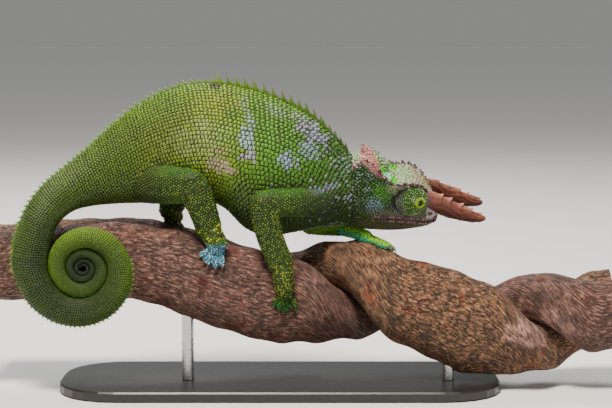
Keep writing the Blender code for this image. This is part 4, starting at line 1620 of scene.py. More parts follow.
@dataclass
class ScaleCoat:
    """All scales of the skin: rows of tiles on the trunk, granules on legs and head."""

    skin: Skin
    line: TrunkLine
    head: HeadFrame
    markings: Markings
    tree: BVHTree = field(init=False)
    nodes_tree: BVHTree = field(init=False)
    node_names: list[str] = field(default_factory=list)
    centres: KDTree = field(init=False)
    draw: random.Random = field(default_factory=lambda: random.Random(SEED))
    crowd: Crowd = field(default_factory=Crowd)
    seeds: list[Seed] = field(default_factory=list)
    eye_clear: float = 8.3
    per_station: int = 12
    samples: int = 144
    tile_rise: float = 0.17
    tile_least: float = 0.07
    head_from: float = 36.0
    head_favour: float = 2.5
    fill_radius: float = 0.26

    def __post_init__(self) -> None:
        """Make the trees that find the skin, the CAD node and the trunk station of a place."""
        self.tree = surface_tree([self.skin.obj])
        self.nodes_tree = surface_tree([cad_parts[n] for n in flesh_nodes()], self.node_names)
        count = int(self.line.last * self.per_station)
        self.centres = KDTree(count)
        for i in range(count):
            self.centres.insert(self.line.frame(i / self.per_station)[0], i)
        self.centres.balance()

    def where(self, p: Vector) -> tuple[str, float]:
        """The CAD node and the trunk station nearest to a place, with each foot by its own form.

        Args:
            p: A place in mm.

        Returns:
            The node's name and the station.
        """
        name = self.node_names[self.nodes_tree.find_nearest(p)[2]]
        for foot, tree in self.skin.foot_trees.items():
            if tree.find_nearest(p, 0.8)[0] is not None:
                name = foot
        return name, self.centres.find(p)[1] / self.per_station

    def in_eye(self, p: Vector) -> bool:
        """Whether a place lies in the ring of an eye."""
        x, w, h = self.head.local(p)
        return self.head.from_eye(x, h) < self.eye_clear and abs(w) > 5.0

    def put(self, place: Vector, along: Vector, length: float, width: float, height: float, form: Form,
            uv: tuple[float, float], facing: Vector | None = None, t: float | None = None,
            crowding: float = 0.4, reach: float = 1.6) -> None:
        """Root one scale on the skin near a place, if there is room for it.

        Args:
            place: Where it should stand.
            along: The way its length lies.
            length: Its length.
            width: Its width.
            height: How far it stands out.
            form: Its shape.
            uv: Its place on the unwrap of its region.
            facing: The way the skin has to face there, if that matters.
            t: The trunk station, if known.
            crowding: How near another root may be, as a share of its size.
            reach: How far from the place the skin may be.
        """
        found, normal, _, distance = self.tree.find_nearest(place)
        if found is None or distance > reach or (facing is not None and normal.dot(facing) < 0.55):
            return
        radius = (length + width) / 2 * crowding
        if not self.crowd.fits(found, radius):
            return
        name, near = self.where(found)
        on_head = region_of(name) is Region.HEAD
        if on_head and (self.in_eye(found) or self.head.from_nostril(found) < 1.25):
            return
        self.crowd.add(found, radius)
        self.seeds.append(Seed(found, normal, along, length, width, height, form, name,
                               near if t is None else t, uv))

    def trunk_rows(self) -> None:
        """Rings of tiles from the neck to the tip of the tail, set in rows down each side."""
        t, number = 0.15, 0
        while t < self.line.last - 0.4:
            pitch = self.ring_pitch(t)
            ring = self.line.ring(t, self.samples)
            step = np.linalg.norm(np.diff(np.vstack([ring, ring[:1]]), axis=0), axis=1)
            reach = np.concatenate([[0], np.cumsum(step)])
            girth = reach[-1]
            centre = self.line.frame(t)[0]
            ahead = (self.line.frame(t + 0.05)[0] - centre).normalized()
            places = self.row_places(t, girth / 2)
            stagger = 0.1 + 0.4 * (1 - smoothstep(1.5, 3.5, t))
            for side in (1, -1):
                for k, (v, width) in enumerate(places):
                    at = v if side > 0 else girth - v
                    at += self.draw.uniform(-0.08, 0.08) * width
                    i = min(int(np.searchsorted(reach, at)), self.samples)
                    share = (at - reach[i - 1]) / max(reach[i] - reach[i - 1], 1e-9)
                    p = Vector(ring[(i - 1) % self.samples] * (1 - share) + ring[i % self.samples] * share)
                    sway = self.draw.uniform(-0.1, 0.1) + 0.6 * noise.noise(p * 0.1) + stagger * (k % 2)
                    p += ahead * sway * pitch
                    # rings lie closer on the inside of a bend
                    here = pitch * self.bend_share(t, p)
                    facing = (p - centre) - ahead * (p - centre).dot(ahead)
                    size = self.draw.uniform(0.84, 1.06)
                    tall = self.tile_rise * width + self.tile_least
                    self.put(p, ahead, here * 0.9 * size, width * 0.9, tall,
                             Form.TILE if t < 13 else Form.SLAB, (number / 420, at / girth),
                             None if facing.length < 1e-6 else facing.normalized(), t, 0.34)
            t = self.line.centre_after(t, pitch)
            number += 1

    def ring_pitch(self, t: float) -> float:
        """The distance from ring to ring along the trunk's centre line."""
        stations = (0, 2, 4, 5.5, 7, 9, 13, 18, 27, 39, 60)
        return float(np.interp(t, stations, (1.5, 1.85, 2.05, 1.9, 1.6, 1.35, 1.15, 1.0, 0.78, 0.5, 0.4)))

    def row_places(self, t: float, half: float) -> list[tuple[float, float]]:
        """Where the rows lie from the ridge of the back to the middle of the belly, and their widths.

        Args:
            t: The trunk station.
            half: Half the girth there.

        Returns:
            Each row's distance from the ridge and its width.
        """
        stations = (0, 2, 4.5, 7, 9, 13, 18, 27, 39, 60)
        base = float(np.interp(t, stations, (1.5, 2.0, 2.3, 1.9, 1.55, 1.3, 1.15, 0.95, 0.6, 0.45)))
        places, v = [], 0.0
        while v < half:
            share = v / half
            swell = 0.42 * smoothstep(0.0, 0.4, share) - 0.2 * smoothstep(0.75, 1.0, share)
            width = base * (0.66 + swell)
            places.append((v + width / 2, width))
            v += width
        return places

    def bend_share(self, t: float, p: Vector) -> float:
        """How much closer than at the centre line the rings lie at a place, from the line's bend.

        Args:
            t: The trunk station.
            p: A place in mm.

        Returns:
            The distance between rings there, as a share of that at the centre line.
        """
        if t < self.line.coil_start - 2:
            return 1.0
        cx, cz = self.line.coil_centre
        centre = self.line.frame(t)[0]
        return math.hypot(p.x - cx, p.z - cz) / max(math.hypot(centre.x - cx, centre.z - cz), 1.0)

    def limb_rows(self, limb: Limb, pitch: float = 1.28) -> None:
        """Rings of granules down a leg, each ring set half a granule on from the last.

        Args:
            limb: The leg.
            pitch: The distance from ring to ring.
        """
        rows = limb_table(limb.joints)
        last = len(rows) - 1
        t, number = 0.0, 0
        while t < last:
            here, along = spline(rows, t), heading_at(rows, t)
            across = (Vector((0, 1, 0)) - along * along.y).normalized()
            centre = Vector(here[:3])
            up = along.cross(across)
            girth = 2 * math.pi * math.sqrt((here[3] ** 2 + here[4] ** 2) / 2)
            count = int(girth / pitch)
            for k in range(count):
                angle = 2 * math.pi * (k + 0.5 * (number % 2) + self.draw.uniform(-0.14, 0.14)) / count
                out = up * here[3] * math.cos(angle) + across * here[4] * math.sin(angle)
                out += along * pitch * self.draw.uniform(-0.15, 0.15)
                size = self.draw.choice((0.74, 0.9, 1.0)) * self.draw.uniform(0.94, 1.06) * pitch
                self.put(centre + out, along, size, size * 0.9, 0.32 * size, Form.GRANULE,
                         (0.02 + 0.9 * t / last, angle / 7), out.normalized(), None, 0.42, 2.6)
            moved = t
            while moved < last and (Vector(spline(rows, moved)[:3]) - centre).length < pitch * 0.88:
                moved += 0.004
            t = moved
            number += 1

    def put_on_head(self, place: Point, length: float, width: float, height: float,
                    form: Form, v: float, crowding: float, reach: float = 1.6) -> None:
        """Root a scale at x, w and h of the head, with its length along the row and v on its map."""
        self.put(self.head.point(*place), Vector((1, 0, 0)), length, width, height, form,
                 ((place[0] - self.head.back) / 46, v), None, None, crowding, reach)

    def lips(self, pitch: float = 1.5) -> None:
        """The lip shields: a row of upright plates above and below the line of the mouth.

        Args:
            pitch: The distance from plate to plate.
        """
        x = self.head.mouth_corner + 1.0
        while x < 78.6:
            _, w, h = spline_at_x(self.head.lip, x)
            for side in Side:
                for rise, tall in ((1.35, 1.35), (-1.25, 1.15)):
                    size = pitch * self.draw.uniform(0.92, 1.04)
                    self.put_on_head((x, side.value * w, h + rise), size, tall, 0.3, Form.PLATE,
                                     0.5 + 0.03 * rise * side.value, 0.34)
            x += pitch

    def crest_rim(self, pitch: float = 1.55) -> None:
        """The knobs along both side crests of the casque, with smaller ones below.

        Args:
            pitch: The distance from knob to knob.
        """
        x = self.head.back + 0.6
        while x < 74.0:
            _, w, h = spline_at_x(self.head.crest, x)
            for side in Side:
                for out, rise, size in ((0.1, 0.2, 1.45), (-1.4, 0.1, 1.15), (0.6, -1.3, 1.15)):
                    size *= self.draw.uniform(0.82, 1.15)
                    self.put_on_head((x, side.value * (w + out), h + rise), size, size, 0.55 * size,
                                     Form.TUBERCLE, 0.2 + 0.05 * rise * side.value, 0.36, 1.8)
            x += pitch * self.draw.uniform(0.9, 1.1)

    def grain(self, p: Vector, name: str) -> tuple[float, float, Form]:
        """How large a loose scale is at a place, how far it stands out, and its form.

        Args:
            p: A place in mm.
            name: The CAD node that lies there.

        Returns:
            Its length, its height as a share of that, and its form.
        """
        region = region_of(name)
        if region is Region.FOOT:
            return 1.1, 0.32, Form.GRANULE
        if region is not Region.HEAD:
            return 1.0, 0.3, Form.GRANULE
        x, _, h = self.head.local(p)
        crest = spline_at_x(self.head.crest, min(max(x, 36), 78))
        lip = spline_at_x(self.head.lip, min(max(x, 36), 78))
        if h > crest[2] - 2.2:
            size, rise = (1.6, 0.14) if self.markings.on_peak(x, h) > 0.3 else (1.3, 0.26)
            return size, rise, Form.PLATE
        if h < lip[2] - 1.5:
            return 1.05, 0.2, Form.GRANULE
        return 1.0 + 0.55 * smoothstep(54, 40, x) + 0.25 * noise.noise(p * 0.3), 0.32, Form.GRANULE

    def fill(self, tries: int = 150_000) -> None:
        """Granules wherever the rows left the skin bare, at random but never crowded.

        Args:
            tries: How many places are tried.
        """
        mesh = self.skin.obj.data
        mesh.calc_loop_triangles()
        corners = np.empty(len(mesh.loop_triangles) * 3, np.int32)
        mesh.loop_triangles.foreach_get("vertices", corners)
        points = np.empty(len(mesh.vertices) * 3)
        mesh.vertices.foreach_get("co", points)
        triangles = (points.reshape(-1, 3) / MM)[corners.reshape(-1, 3)]
        sides = triangles[:, 1:] - triangles[:, :1]
        area = np.linalg.norm(np.cross(sides[:, 0], sides[:, 1]), axis=1)
        area *= np.where(triangles[:, 0, 0] > self.head_from, self.head_favour, 1.0)
        rng = np.random.default_rng(SEED)
        picked = rng.choice(len(area), tries, p=area / area.sum())
        shares = rng.random((tries, 2))
        shares[shares.sum(1) > 1] = 1 - shares[shares.sum(1) > 1]
        places = triangles[picked, 0] + shares[:, :1] * sides[picked, 0]
        places += shares[:, 1:] * sides[picked, 1]
        for place in places:
            p = Vector(place)
            if not self.crowd.fits(p, self.fill_radius):
                continue
            size, height, form = self.grain(p, self.where(p)[0])
            size *= self.draw.uniform(0.82, 1.08)
            lie = Vector((self.draw.uniform(-1, 1), 1, 0) if form is Form.PLATE else (1, 0, 0.1))
            uv = ((p.x + 140) / 230, (p.z + (p.y > 0) * 120) / 290)
            self.put(p, lie, size, size, height * size, form, uv, None, None, 0.4, 0.6)

    def template(self, form: Form) -> tuple[np.ndarray, np.ndarray]:
        """Points and triangles of one closed scale of size 1, with its height in z and its foot sunk.

        Args:
            form: The form.

        Returns:
            The points, and three point numbers to each triangle.
        """
        sides = 6 if form is Form.GRANULE else 8
        angles = (np.arange(sides) + 0.5) * 2 * math.pi / sides
        outline = np.stack([np.cos(angles), np.sin(angles)], 1) * 0.5
        square = {Form.TILE: 1.7, Form.SLAB: 1.6, Form.PLATE: 1.25}.get(form)
        if square:
            outline = np.sign(outline) * np.minimum(np.abs(outline * square), 0.47)
        rings = {
            Form.TILE: ((1.0, -0.9), (0.94, 0.7), (0.76, 0.97)),
            Form.SLAB: ((1.02, -0.9), (0.86, 0.8)),
            Form.GRANULE: ((1.0, -0.9), (0.84, 0.5)),
            Form.TUBERCLE: ((1.1, -0.5), (0.9, 0.3), (0.5, 0.8)),
            Form.PLATE: ((1.04, -0.9), (0.9, 0.8)),
        }[form]
        points = [np.column_stack([outline * scale, np.full(sides, z)]) for scale, z in rings]
        return np.vstack([*points, [[0.0, 0.0, 1.0]]]), stack_faces(len(rings), sides)

    def build(self) -> list[Object]:
        """Turn the seeds into joined pieces of scales, each under the limit of triangles.

        Returns:
            The pieces.
        """
        groups: dict[str, list[Seed]] = {}
        for seed in self.seeds:
            groups.setdefault(self.piece_name(seed), []).append(seed)
        material = ScaleFinish().material()
        pieces = []
        for name, seeds in sorted(groups.items()):
            pieces.append(self.piece(name, seeds, material))
            log.info("%s: %d scales", name, len(seeds))
        return pieces

    def piece_name(self, seed: Seed) -> str:
        """The piece that a scale is joined to.

        Args:
            seed: The scale.

        Returns:
            The piece's name.
        """
        region = region_of(seed.name)
        side = "left" if seed.place.y > self.line.frame(seed.t)[0].y else "right"
        if region is Region.TORSO:
            return f"torso_scales_{'front' if seed.place.x > -24 else 'rear'}_{side}"
        if region is Region.TAIL:
            along = seed.t - self.line.coil_start
            return f"tail_scales_{'root' if along < 0 else 'coil' if along < 9 else 'end'}_{side}"
        if region is Region.HEAD:
            return "head_scales"
        leg = "front" if seed.name.startswith("front") else "hind"
        return f"{leg}_leg_scales_{'left' if 'left' in seed.name else 'right'}"

    def piece(self, name: str, seeds: list[Seed], material: Material) -> Object:
        """Join one piece's scales into a mesh.

        Args:
            name: The piece's name.
            seeds: Its scales.
            material: Their finish.

        Returns:
            The piece.
        """
        points, faces, tints, rises, maps = [], [], [], [], []
        start = 0
        for form in Form:
            chosen = [s for s in seeds if s.form is form]
            if not chosen:
                continue
            shape, triangles = self.template(form)
            normal = np.array([s.normal for s in chosen])
            along = np.array([s.along for s in chosen])
            along -= normal * np.sum(along * normal, 1, keepdims=True)
            along /= np.linalg.norm(along, axis=1, keepdims=True) + 1e-12
            across = np.cross(normal, along)
            size = np.array([(s.length, s.width, s.height) for s in chosen])
            place = np.array([s.place for s in chosen])
            spread = (
                place[:, None]
                + shape[None, :, :1] * (along * size[:, :1])[:, None]
                + shape[None, :, 1:2] * (across * size[:, 1:2])[:, None]
                + shape[None, :, 2:] * (normal * size[:, 2:])[:, None]
            )
            points.append(spread.reshape(-1, 3))
            offsets = start + np.arange(len(chosen)) * len(shape)
            faces.append((triangles[None] + offsets[:, None, None]).reshape(-1, 3))
            start += len(chosen) * len(shape)
            colours = []
            for s in chosen:
                luck = self.draw.random()
                colour = self.markings.at(s.place, s.name, s.t, s.normal.z, luck, s.length)
                colours.append(colour * self.draw.uniform(0.84, 1.16))
            tints.append(np.repeat(np.clip(np.array(colours), 0, 1), len(shape), 0))
            # each point's height on its scale, from which the finish paints shade at the foot
            rises.append(np.tile(np.clip(shape[:, 2], 0, 1) ** 1.6, len(chosen)))
            root = np.array([s.uv for s in chosen])
            maps.append((root[:, None] % 1.0 * 0.99 + 0.004 + shape[None, :, :2] * 0.003).reshape(-1, 2))
        obj = triangle_object(name, np.vstack(points), np.vstack(faces))
        paint(obj, np.vstack(tints), np.concatenate(rises))
        layer = obj.data.uv_layers.new(name="OFBake")
        corners = np.vstack(faces).ravel()
        layer.data.foreach_set("uv", np.vstack(maps)[corners].ravel())
        dress(obj, material)
        smooth_shade(obj, 75.0)
        return obj


# How much darker the skin between the scales is than its scales, by region: partly its own darker colour
# and partly painted shade in the gaps.
GROUND_AND_GAP_SHADE = {Region.HEAD: 0.26, Region.TORSO: 0.12, Region.TAIL: 0.14, Region.ARM: 0.3, Region.LEG: 0.3,
          Region.FOOT: 0.25}


def paint_skin(skin: Skin, coat: ScaleCoat) -> None:
    """Give the skin the scales' markings, darker, partly as painted shade between the scales, and dress it.

    Args:
        skin: The skin.
        coat: Its scales.
    """
    tints = []
    for vertex in skin.obj.data.vertices:
        p = vertex.co / MM
        name, t = coat.where(p)
        colour = coat.markings.at(p, name, t, vertex.normal.z, 0.5, 0.0)
        x, _, h = coat.head.local(p)
        peak, rim = coat.markings.on_peak(x, h) > 0.3, 1.3 < coat.head.from_nostril(p) < 4.0
        bare = name == "head" and (peak or rim)
        tints.append(colour * (0.8 if bare else GROUND_AND_GAP_SHADE[region_of(name)]))
    paint(skin.obj, np.clip(np.array(tints), 0, 1))
    dress(skin.obj, SkinFinish().material())


@dataclass
class Crest:
    """The row of conical scales down the back, with small ones between."""

    line: TrunkLine
    sunk: float = 0.8
    runs: tuple[tuple[float, float, float, float], ...] = (
        (0.4, 1.6, 4.0, 4.2), (1.6, 5.2, 4.6, 5.2), (5.2, 9.0, 3.3, 2.5), (9.0, 15.0, 2.8, 2.0),
        (15.0, 21.5, 2.3, 1.4),
    )
    slim: float = 0.16
    flat: float = 0.8
    lean: float = 0.34
    bend: float = 0.12
    sides: int = 10
    levels: tuple[tuple[float, float], ...] = (
        (1.3, 0.0), (1.0, 0.2), (0.78, 0.42), (0.52, 0.66), (0.26, 0.87),
    )
    draw: random.Random = field(default_factory=lambda: random.Random(7))

    def tones(self, t: float) -> np.ndarray:
        """The colour at each level and at the tip, for a spine at station t.

        Args:
            t: The trunk station.

        Returns:
            The linear colours.
        """
        base = ramp([(0, "#3f5c28"), (2.5, "#4c7412"), (5, "#587e12"), (9, "#54801c"), (14, "#3f7a16"),
                     (20, "#42680e")], t)
        tip = ramp([(0, "#5c5c30"), (4, "#5c6420"), (7, "#84a82c"), (20, "#86aa3a")], t)
        return blend(base, tip, np.array([0, 0.05, 0.2, 0.5, 0.9, 1.0])[:, None])

    def build(self) -> Object:
        """Set the spines along the back, each flattened across the body and bent to the tail.

        Returns:
            The crest.
        """
        spines = Stacks("crest_spines", (0.2, 0.5, 0.75, 0.9, 1.0, 1.0), self.sides)
        for first, last, spacing, height in self.runs:
            t = first
            while t < last:
                after = self.line.back_after(t, spacing * self.draw.uniform(0.9, 1.1))
                tall = height * self.draw.uniform(0.9, 1.14)
                for share, size in ((0.0, 1.0), (0.36, 0.34), (0.68, 0.4)):
                    self.spine(spines, t + (after - t) * share, tall * size, size < 1)
                t = after
        return spines.build()

    def spine(self, spines: Stacks, t: float, tall: float, small: bool) -> None:
        """Add one spine of that height at station t.

        Args:
            spines: The spines so far.
            t: The trunk station.
            tall: Its height in mm.
            small: Whether it is one of those between.
        """
        centre, up, _, _, _ = self.line.frame(t)
        ahead = (self.line.frame(t + 0.05)[0] - centre).normalized()
        way = (up.normalized() + ahead * self.lean * smoothstep(3.0, 8.0, t)).normalized()
        side = way.cross(ahead).normalized()
        onward = side.cross(way).normalized() * (1 if side.cross(way).dot(ahead) > 0 else -1)
        foot = centre + up - way * self.sunk
        reach = tall + self.sunk
        radius = reach * (0.26 if small else self.slim + 0.1 * smoothstep(4.0, 2.0, tall))
        rings = []
        for scale, rise in self.levels:
            middle = foot + way * reach * rise + onward * reach * self.bend * rise**2
            wide = radius * scale
            rings.append(oval(middle, onward * wide, side * wide * self.flat, self.sides))
        tip = foot + way * reach + onward * reach * self.bend
        spines.add(rings, tip, self.tones(t) * self.draw.uniform(0.6, 0.85))


# Eyes, horns and claws


@dataclass
class Eye:
    """One eye turret: a cone of fused lids, ringed with granules, with a small opening."""

    side: Side
    head: HeadFrame
    radii: Point = (8.0, 6.5, 7.8)
    gaze: float = math.radians(37.0)
    raised: float = 0.22
    opening: float = 1.5
    ring_pitch: float = 0.58
    first_ring: float = math.radians(14)
    furrows_from: float = math.radians(27)
    last_ring: float = math.radians(120)
    draw: random.Random = field(default_factory=lambda: random.Random(SEED))

    @property
    def centre(self) -> Vector:
        """The turret's centre."""
        x, w, h = self.head.eye
        return self.head.point(x, self.side.value * w, h)

    @property
    def axis(self) -> Vector:
        """The way the eye looks."""
        out = self.side.value * math.cos(self.gaze)
        return self.head.direction(math.sin(self.gaze), out, self.raised).normalized()

    def frame(self) -> tuple[Vector, Vector, Vector]:
        """The look and two ways across it."""
        up = self.head.direction(0, 0, 1)
        across = up.cross(self.axis).normalized()
        return self.axis, across, self.axis.cross(across).normalized()

    def reach(self, way: Vector) -> float:
        """The turret's radius in a direction of the row."""
        back = Matrix.Rotation(-self.head.roll, 3, "X") @ way
        return 1 / math.sqrt(sum((c / r) ** 2 for c, r in zip(back, self.radii)))

    def skin_point(self, polar: float, around: float) -> Vector:
        """The point of the turret's skin that far off the look and that far round it.

        Args:
            polar: The angle off the look.
            around: The angle round it.

        Returns:
            The place in mm.
        """
        look, across, up = self.frame()
        way = look * math.cos(polar) + (across * math.cos(around) + up * math.sin(around)) * math.sin(polar)
        lift = 0.7 * smoothstep(math.radians(26), math.radians(12), polar)
        return self.centre + way * (self.reach(way) + lift)

    def tone(self, polar: float, luck: float, furrow: bool) -> np.ndarray:
        """The granule's colour: lime at the lid, then green rows with dark furrows, then grey.

        Args:
            polar: The angle off the look.
            luck: The granule's own draw, from 0 to 1.
            furrow: Whether it lies in a furrow.

        Returns:
            The linear colour.
        """
        degrees = math.degrees(polar)
        if degrees < 22:
            return to_linear("#9cc410")
        if furrow:
            green, grey = to_linear("#11300a" if luck < 0.75 else "#2a5a0e"), to_linear("#1f211c")
        else:
            green = to_linear("#488608" if luck < 0.5 else "#7cae34" if luck < 0.7 else "#c4d2a8")
            grey = to_linear("#6c7066" if luck < 0.7 else "#8e9288")
        return blend(green, grey, smoothstep(66, 90, degrees))

    def build(self) -> list[Object]:
        """Model the turret, its lid, its granules and the eyeball behind the opening."""
        return [self.turret(), self.granules(), self.ball()]

    def turret(self) -> Object:
        """The bare turret: a sphere opened at the lid, with a rim drawn out and turned in.

        Returns:
            The turret.
        """
        deselect_all()
        bpy.ops.mesh.primitive_uv_sphere_add(segments=56, ring_count=40, radius=1.0)
        obj = named(f"eye_turret_{self.side.word}")
        look, across, up = self.frame()
        for vertex in obj.data.vertices:
            way = (across * vertex.co.x + up * vertex.co.y + look * vertex.co.z).normalized()
            polar = way.angle(look)
            lift = 0.6 * smoothstep(math.radians(28), math.radians(12), polar)
            vertex.co = (self.centre + way * (self.reach(way) * 0.975 + lift)) * MM
        tip = self.centre + look * (self.reach(look) + 0.6)
        with editing(obj, lambda face: (face.center / MM - tip).length < self.opening + 0.35):
            bpy.ops.mesh.inset(thickness=0.12 * MM)
            bpy.ops.mesh.extrude_region_move(TRANSFORM_OT_translate={"value": -look * 1.4 * MM})
            bpy.ops.mesh.delete(type="FACE")
        # the lid skin is darkened under the granules: partly its own colour, partly painted shade between
        # them
        tints = []
        for vertex in obj.data.vertices:
            way = (vertex.co / MM - self.centre).normalized()
            tints.append(self.tone(way.angle(look), 0.5, way.angle(look) > 0.45) * 0.4)
        paint(obj, np.array(tints))
        smooth_shade(obj, 50.0)
        dress(obj, SkinFinish(name="lid_skin").material())
        return obj

    def granules(self) -> Object:
        """Rings of granules round the look, smallest at the lid.

        Returns:
            The granules.
        """
        grains = Stacks(f"eye_granules_{self.side.word}", (0.1, 0.75, 1.0), 6)
        polar, number = self.first_ring, 0
        while polar < self.last_ring:
            radius = self.reach(self.axis) * math.sin(polar)
            furrow = number % 2 == 1 and polar > self.furrows_from
            count = max(14, int(2 * math.pi * radius / self.ring_pitch))
            for k in range(count):
                around = 2 * math.pi * (k + self.draw.uniform(-0.1, 0.1)) / count
                place = self.skin_point(polar, around)
                out = (place - self.centre).normalized()
                size = self.ring_pitch * self.draw.uniform(0.42, 0.52)
                deep = size * (0.6 if furrow else 1.1)
                lift = 0.02 if furrow else 0.14
                side = out.cross(self.axis).normalized()
                lie = side.cross(out)
                rings = [oval(place - out * 0.2, side * size, lie * deep, 6),
                         oval(place + out * lift, side * size * 0.72, lie * deep * 0.72, 6)]
                tint = self.tone(polar, self.draw.random(), furrow) * self.draw.uniform(0.65, 0.95)
                grains.add(rings, place + out * (lift + 0.1), tint)
            spacing = 0.88 if polar > self.furrows_from else 0.95
            polar += self.ring_pitch * spacing / self.reach(self.axis)
            number += 1
        obj = grains.build()
        dress(obj, ScaleFinish(name="lid_granules", roughness=0.4).material())
        return obj

    def ball(self) -> Object:
        """The eyeball, of which only the wet cornea shows in the opening.

        Returns:
            The eyeball.
        """
        deselect_all()
        bpy.ops.mesh.primitive_uv_sphere_add(segments=32, ring_count=20, radius=2.5 * MM)
        obj = named(f"eyeball_{self.side.word}")
        obj.location = (self.centre + self.axis * (self.reach(self.axis) - 2.6)) * MM
        settle(obj)
        smooth_shade(obj, 180.0)
        dress(obj, CorneaFinish().material())
        return obj


@dataclass
class Horn:
    """One rostral horn: a blade flattened sideways, sheathed in rows of plates that lap forwards.

    The plates of the upper row stand out as large teeth, and those of the lower row as small ones.
    A station holds x, w, the top's h, the bottom's h and the half thickness.
    """

    side: Side
    head: HeadFrame
    stations: Rows = (
        (69.5, 5.6, 3.0, -3.0, 1.2), (73.5, 6.2, 3.4, -6.2, 1.8), (81.0, 6.7, -0.2, -10.8, 2.0),
        (88.0, 7.2, -3.6, -12.7, 1.9), (95.0, 7.6, -7.2, -13.9, 1.5), (100.0, 7.8, -9.6, -13.8, 1.0),
        (102.6, 7.9, -11.4, -12.6, 0.5),
    )
    teeth: float = 6.4
    tooth: float = 1.6
    rows: float = 2.1
    lap: float = 0.04
    crease: float = 0.1
    around: int = 72
    along: int = 220
    # pale is the lit colour and low the shaded one: painted highlight on the top edge, painted shade
    # underneath; dark is painted shade in the grooves
    pale: str = "#b8846f"
    middle: str = "#5e2f22"
    dark: str = "#2a100b"
    low: str = "#3a120b"
    root: str = "#6e5356"
    turns: np.ndarray = field(init=False)

    def __post_init__(self) -> None:
        """Lay out the angles round a section, from its top."""
        self.turns = np.arange(self.around) * 2 * math.pi / self.around

    def plates(self, share: float) -> tuple[np.ndarray, np.ndarray, np.ndarray]:
        """How far on each point of a section is in its plate.

        Args:
            share: The section's place along the horn, from 0 to 1.

        Returns:
            From 0 at a plate's root to 1 at its free end; the same for the teeth of the top edge;
            and from 0 in the groove between two rows to 1 on a row's crown.
        """
        height = (np.cos(self.turns) + 1) / 2 * self.rows + 0.25 * math.sin(share * 19 + self.side.value)
        row = np.floor(height)
        across = height - row
        wave = 0.16 * math.sin(share * 23 + 2 * self.side.value) + 0.1 * math.sin(share * 41)
        on = (share * self.teeth + wave + 0.55 * (1 - height / self.rows) + 0.3 * (row < 1)) % 1.0
        saw = (share * self.teeth + wave) % 1.0 * np.ones(self.around)
        return on, saw, 1 - np.abs(2 * across - 1) ** 3

    def ring(self, share: float) -> np.ndarray:
        """A section of the horn, with its plates raised.

        Args:
            share: From 0 at the root to 1 at the tip.

        Returns:
            The points in mm.
        """
        first, last = self.stations[0][0], self.stations[-1][0]
        x = first + (last - first) * share
        _, w, top, bottom, thick = spline_at_x(self.stations, x)
        middle, tall = (top + bottom) / 2, (top - bottom) / 2
        on, saw, crown = self.plates(share)
        rise, out = np.cos(self.turns), np.sin(self.turns)
        grown = smoothstep(0.08, 0.24, share) * (1 - 0.5 * smoothstep(0.85, 1.0, share))
        tooth = self.tooth * grown * saw**1.4 * np.clip(rise, 0, 1) ** 14
        small = 0.25 * self.tooth * grown * on**1.4 * np.clip(-rise, 0, 1) ** 12
        lift = self.lap * grown * on**1.6 * crown
        sway = 2.5 * math.sin(share * 15 + self.side.value)
        lift = lift + self.crease * grown * np.sin(self.turns * 9 + sway)
        up = tall * rise + tooth - small + lift * rise * 0.4
        outward = (thick + lift * min(1.0, thick)) * out
        ahead = 0.9 * tooth + 0.5 * lift
        points = np.array(self.head.point(x, self.side.value * w, middle))[None]
        return (points + np.outer(up, np.array(self.head.direction(0, 0, 1)))
                + np.outer(outward, np.array(self.head.direction(0, 1, 0))) + np.outer(ahead, (1, 0, 0)))

    def tones(self, share: float) -> np.ndarray:
        """The colours of a section: painted shade in the grooves and on the underside, pale at the plates'
        free ends, and a painted highlight along the toothed top edge.

        Args:
            share: From 0 at the root to 1 at the tip.

        Returns:
            The linear colours.
        """
        on, saw, crown = self.plates(share)
        rise = np.cos(self.turns)
        # painted highlight: the toothed top edge turns pale, and the plates' free ends a little
        edge = np.maximum(0.1 * on**6, np.clip(rise, 0, 1) ** 8 * saw**1.2)[:, None]
        # painted shade in the grooves between plates and rows
        groove = (np.clip(1 - on * 5, 0, 1) + np.clip(1 - crown * 1.6, 0, 1)).clip(0, 1)[:, None]
        cloud = 1 + 0.25 * math.sin(share * 13 + self.side.value) * math.sin(share * 5)
        colour = blend(blend(to_linear(self.middle) * cloud, self.pale, edge), self.dark, 0.12 * groove)
        mottle = []
        for out, up in zip(np.cos(self.turns), np.sin(self.turns)):
            broad = noise.noise(Vector((share * 11, 1.6 * out, 1.6 * up + self.side.value)))
            mottle.append(1 + 0.5 * broad + 0.4 * noise.noise(Vector((share * 30, 5 * out, 5 * up))))
        colour = colour * np.array(mottle)[:, None]
        # painted shade: the underside darkens
        low = np.clip(0.5 - 0.85 * rise, 0, 0.95)[:, None]
        return blend(blend(colour, self.low, low), self.root, 0.8 * (1 - smoothstep(0.04, 0.26, share)))

    def build(self) -> Object:
        """Wrap the blade section by section and dress it.

        Returns:
            The horn.
        """
        name = f"rostral_horn_{self.side.word}"
        obj = wrapped_grid(name, self.around, self.along, self.ring, self.tones)
        smooth_shade(obj, 42.0)
        finish = ScaleFinish(name=f"horn_keratin_{self.side.word}", roughness=0.52, grain_mm=0.5)
        dress(obj, finish.material())
        return obj


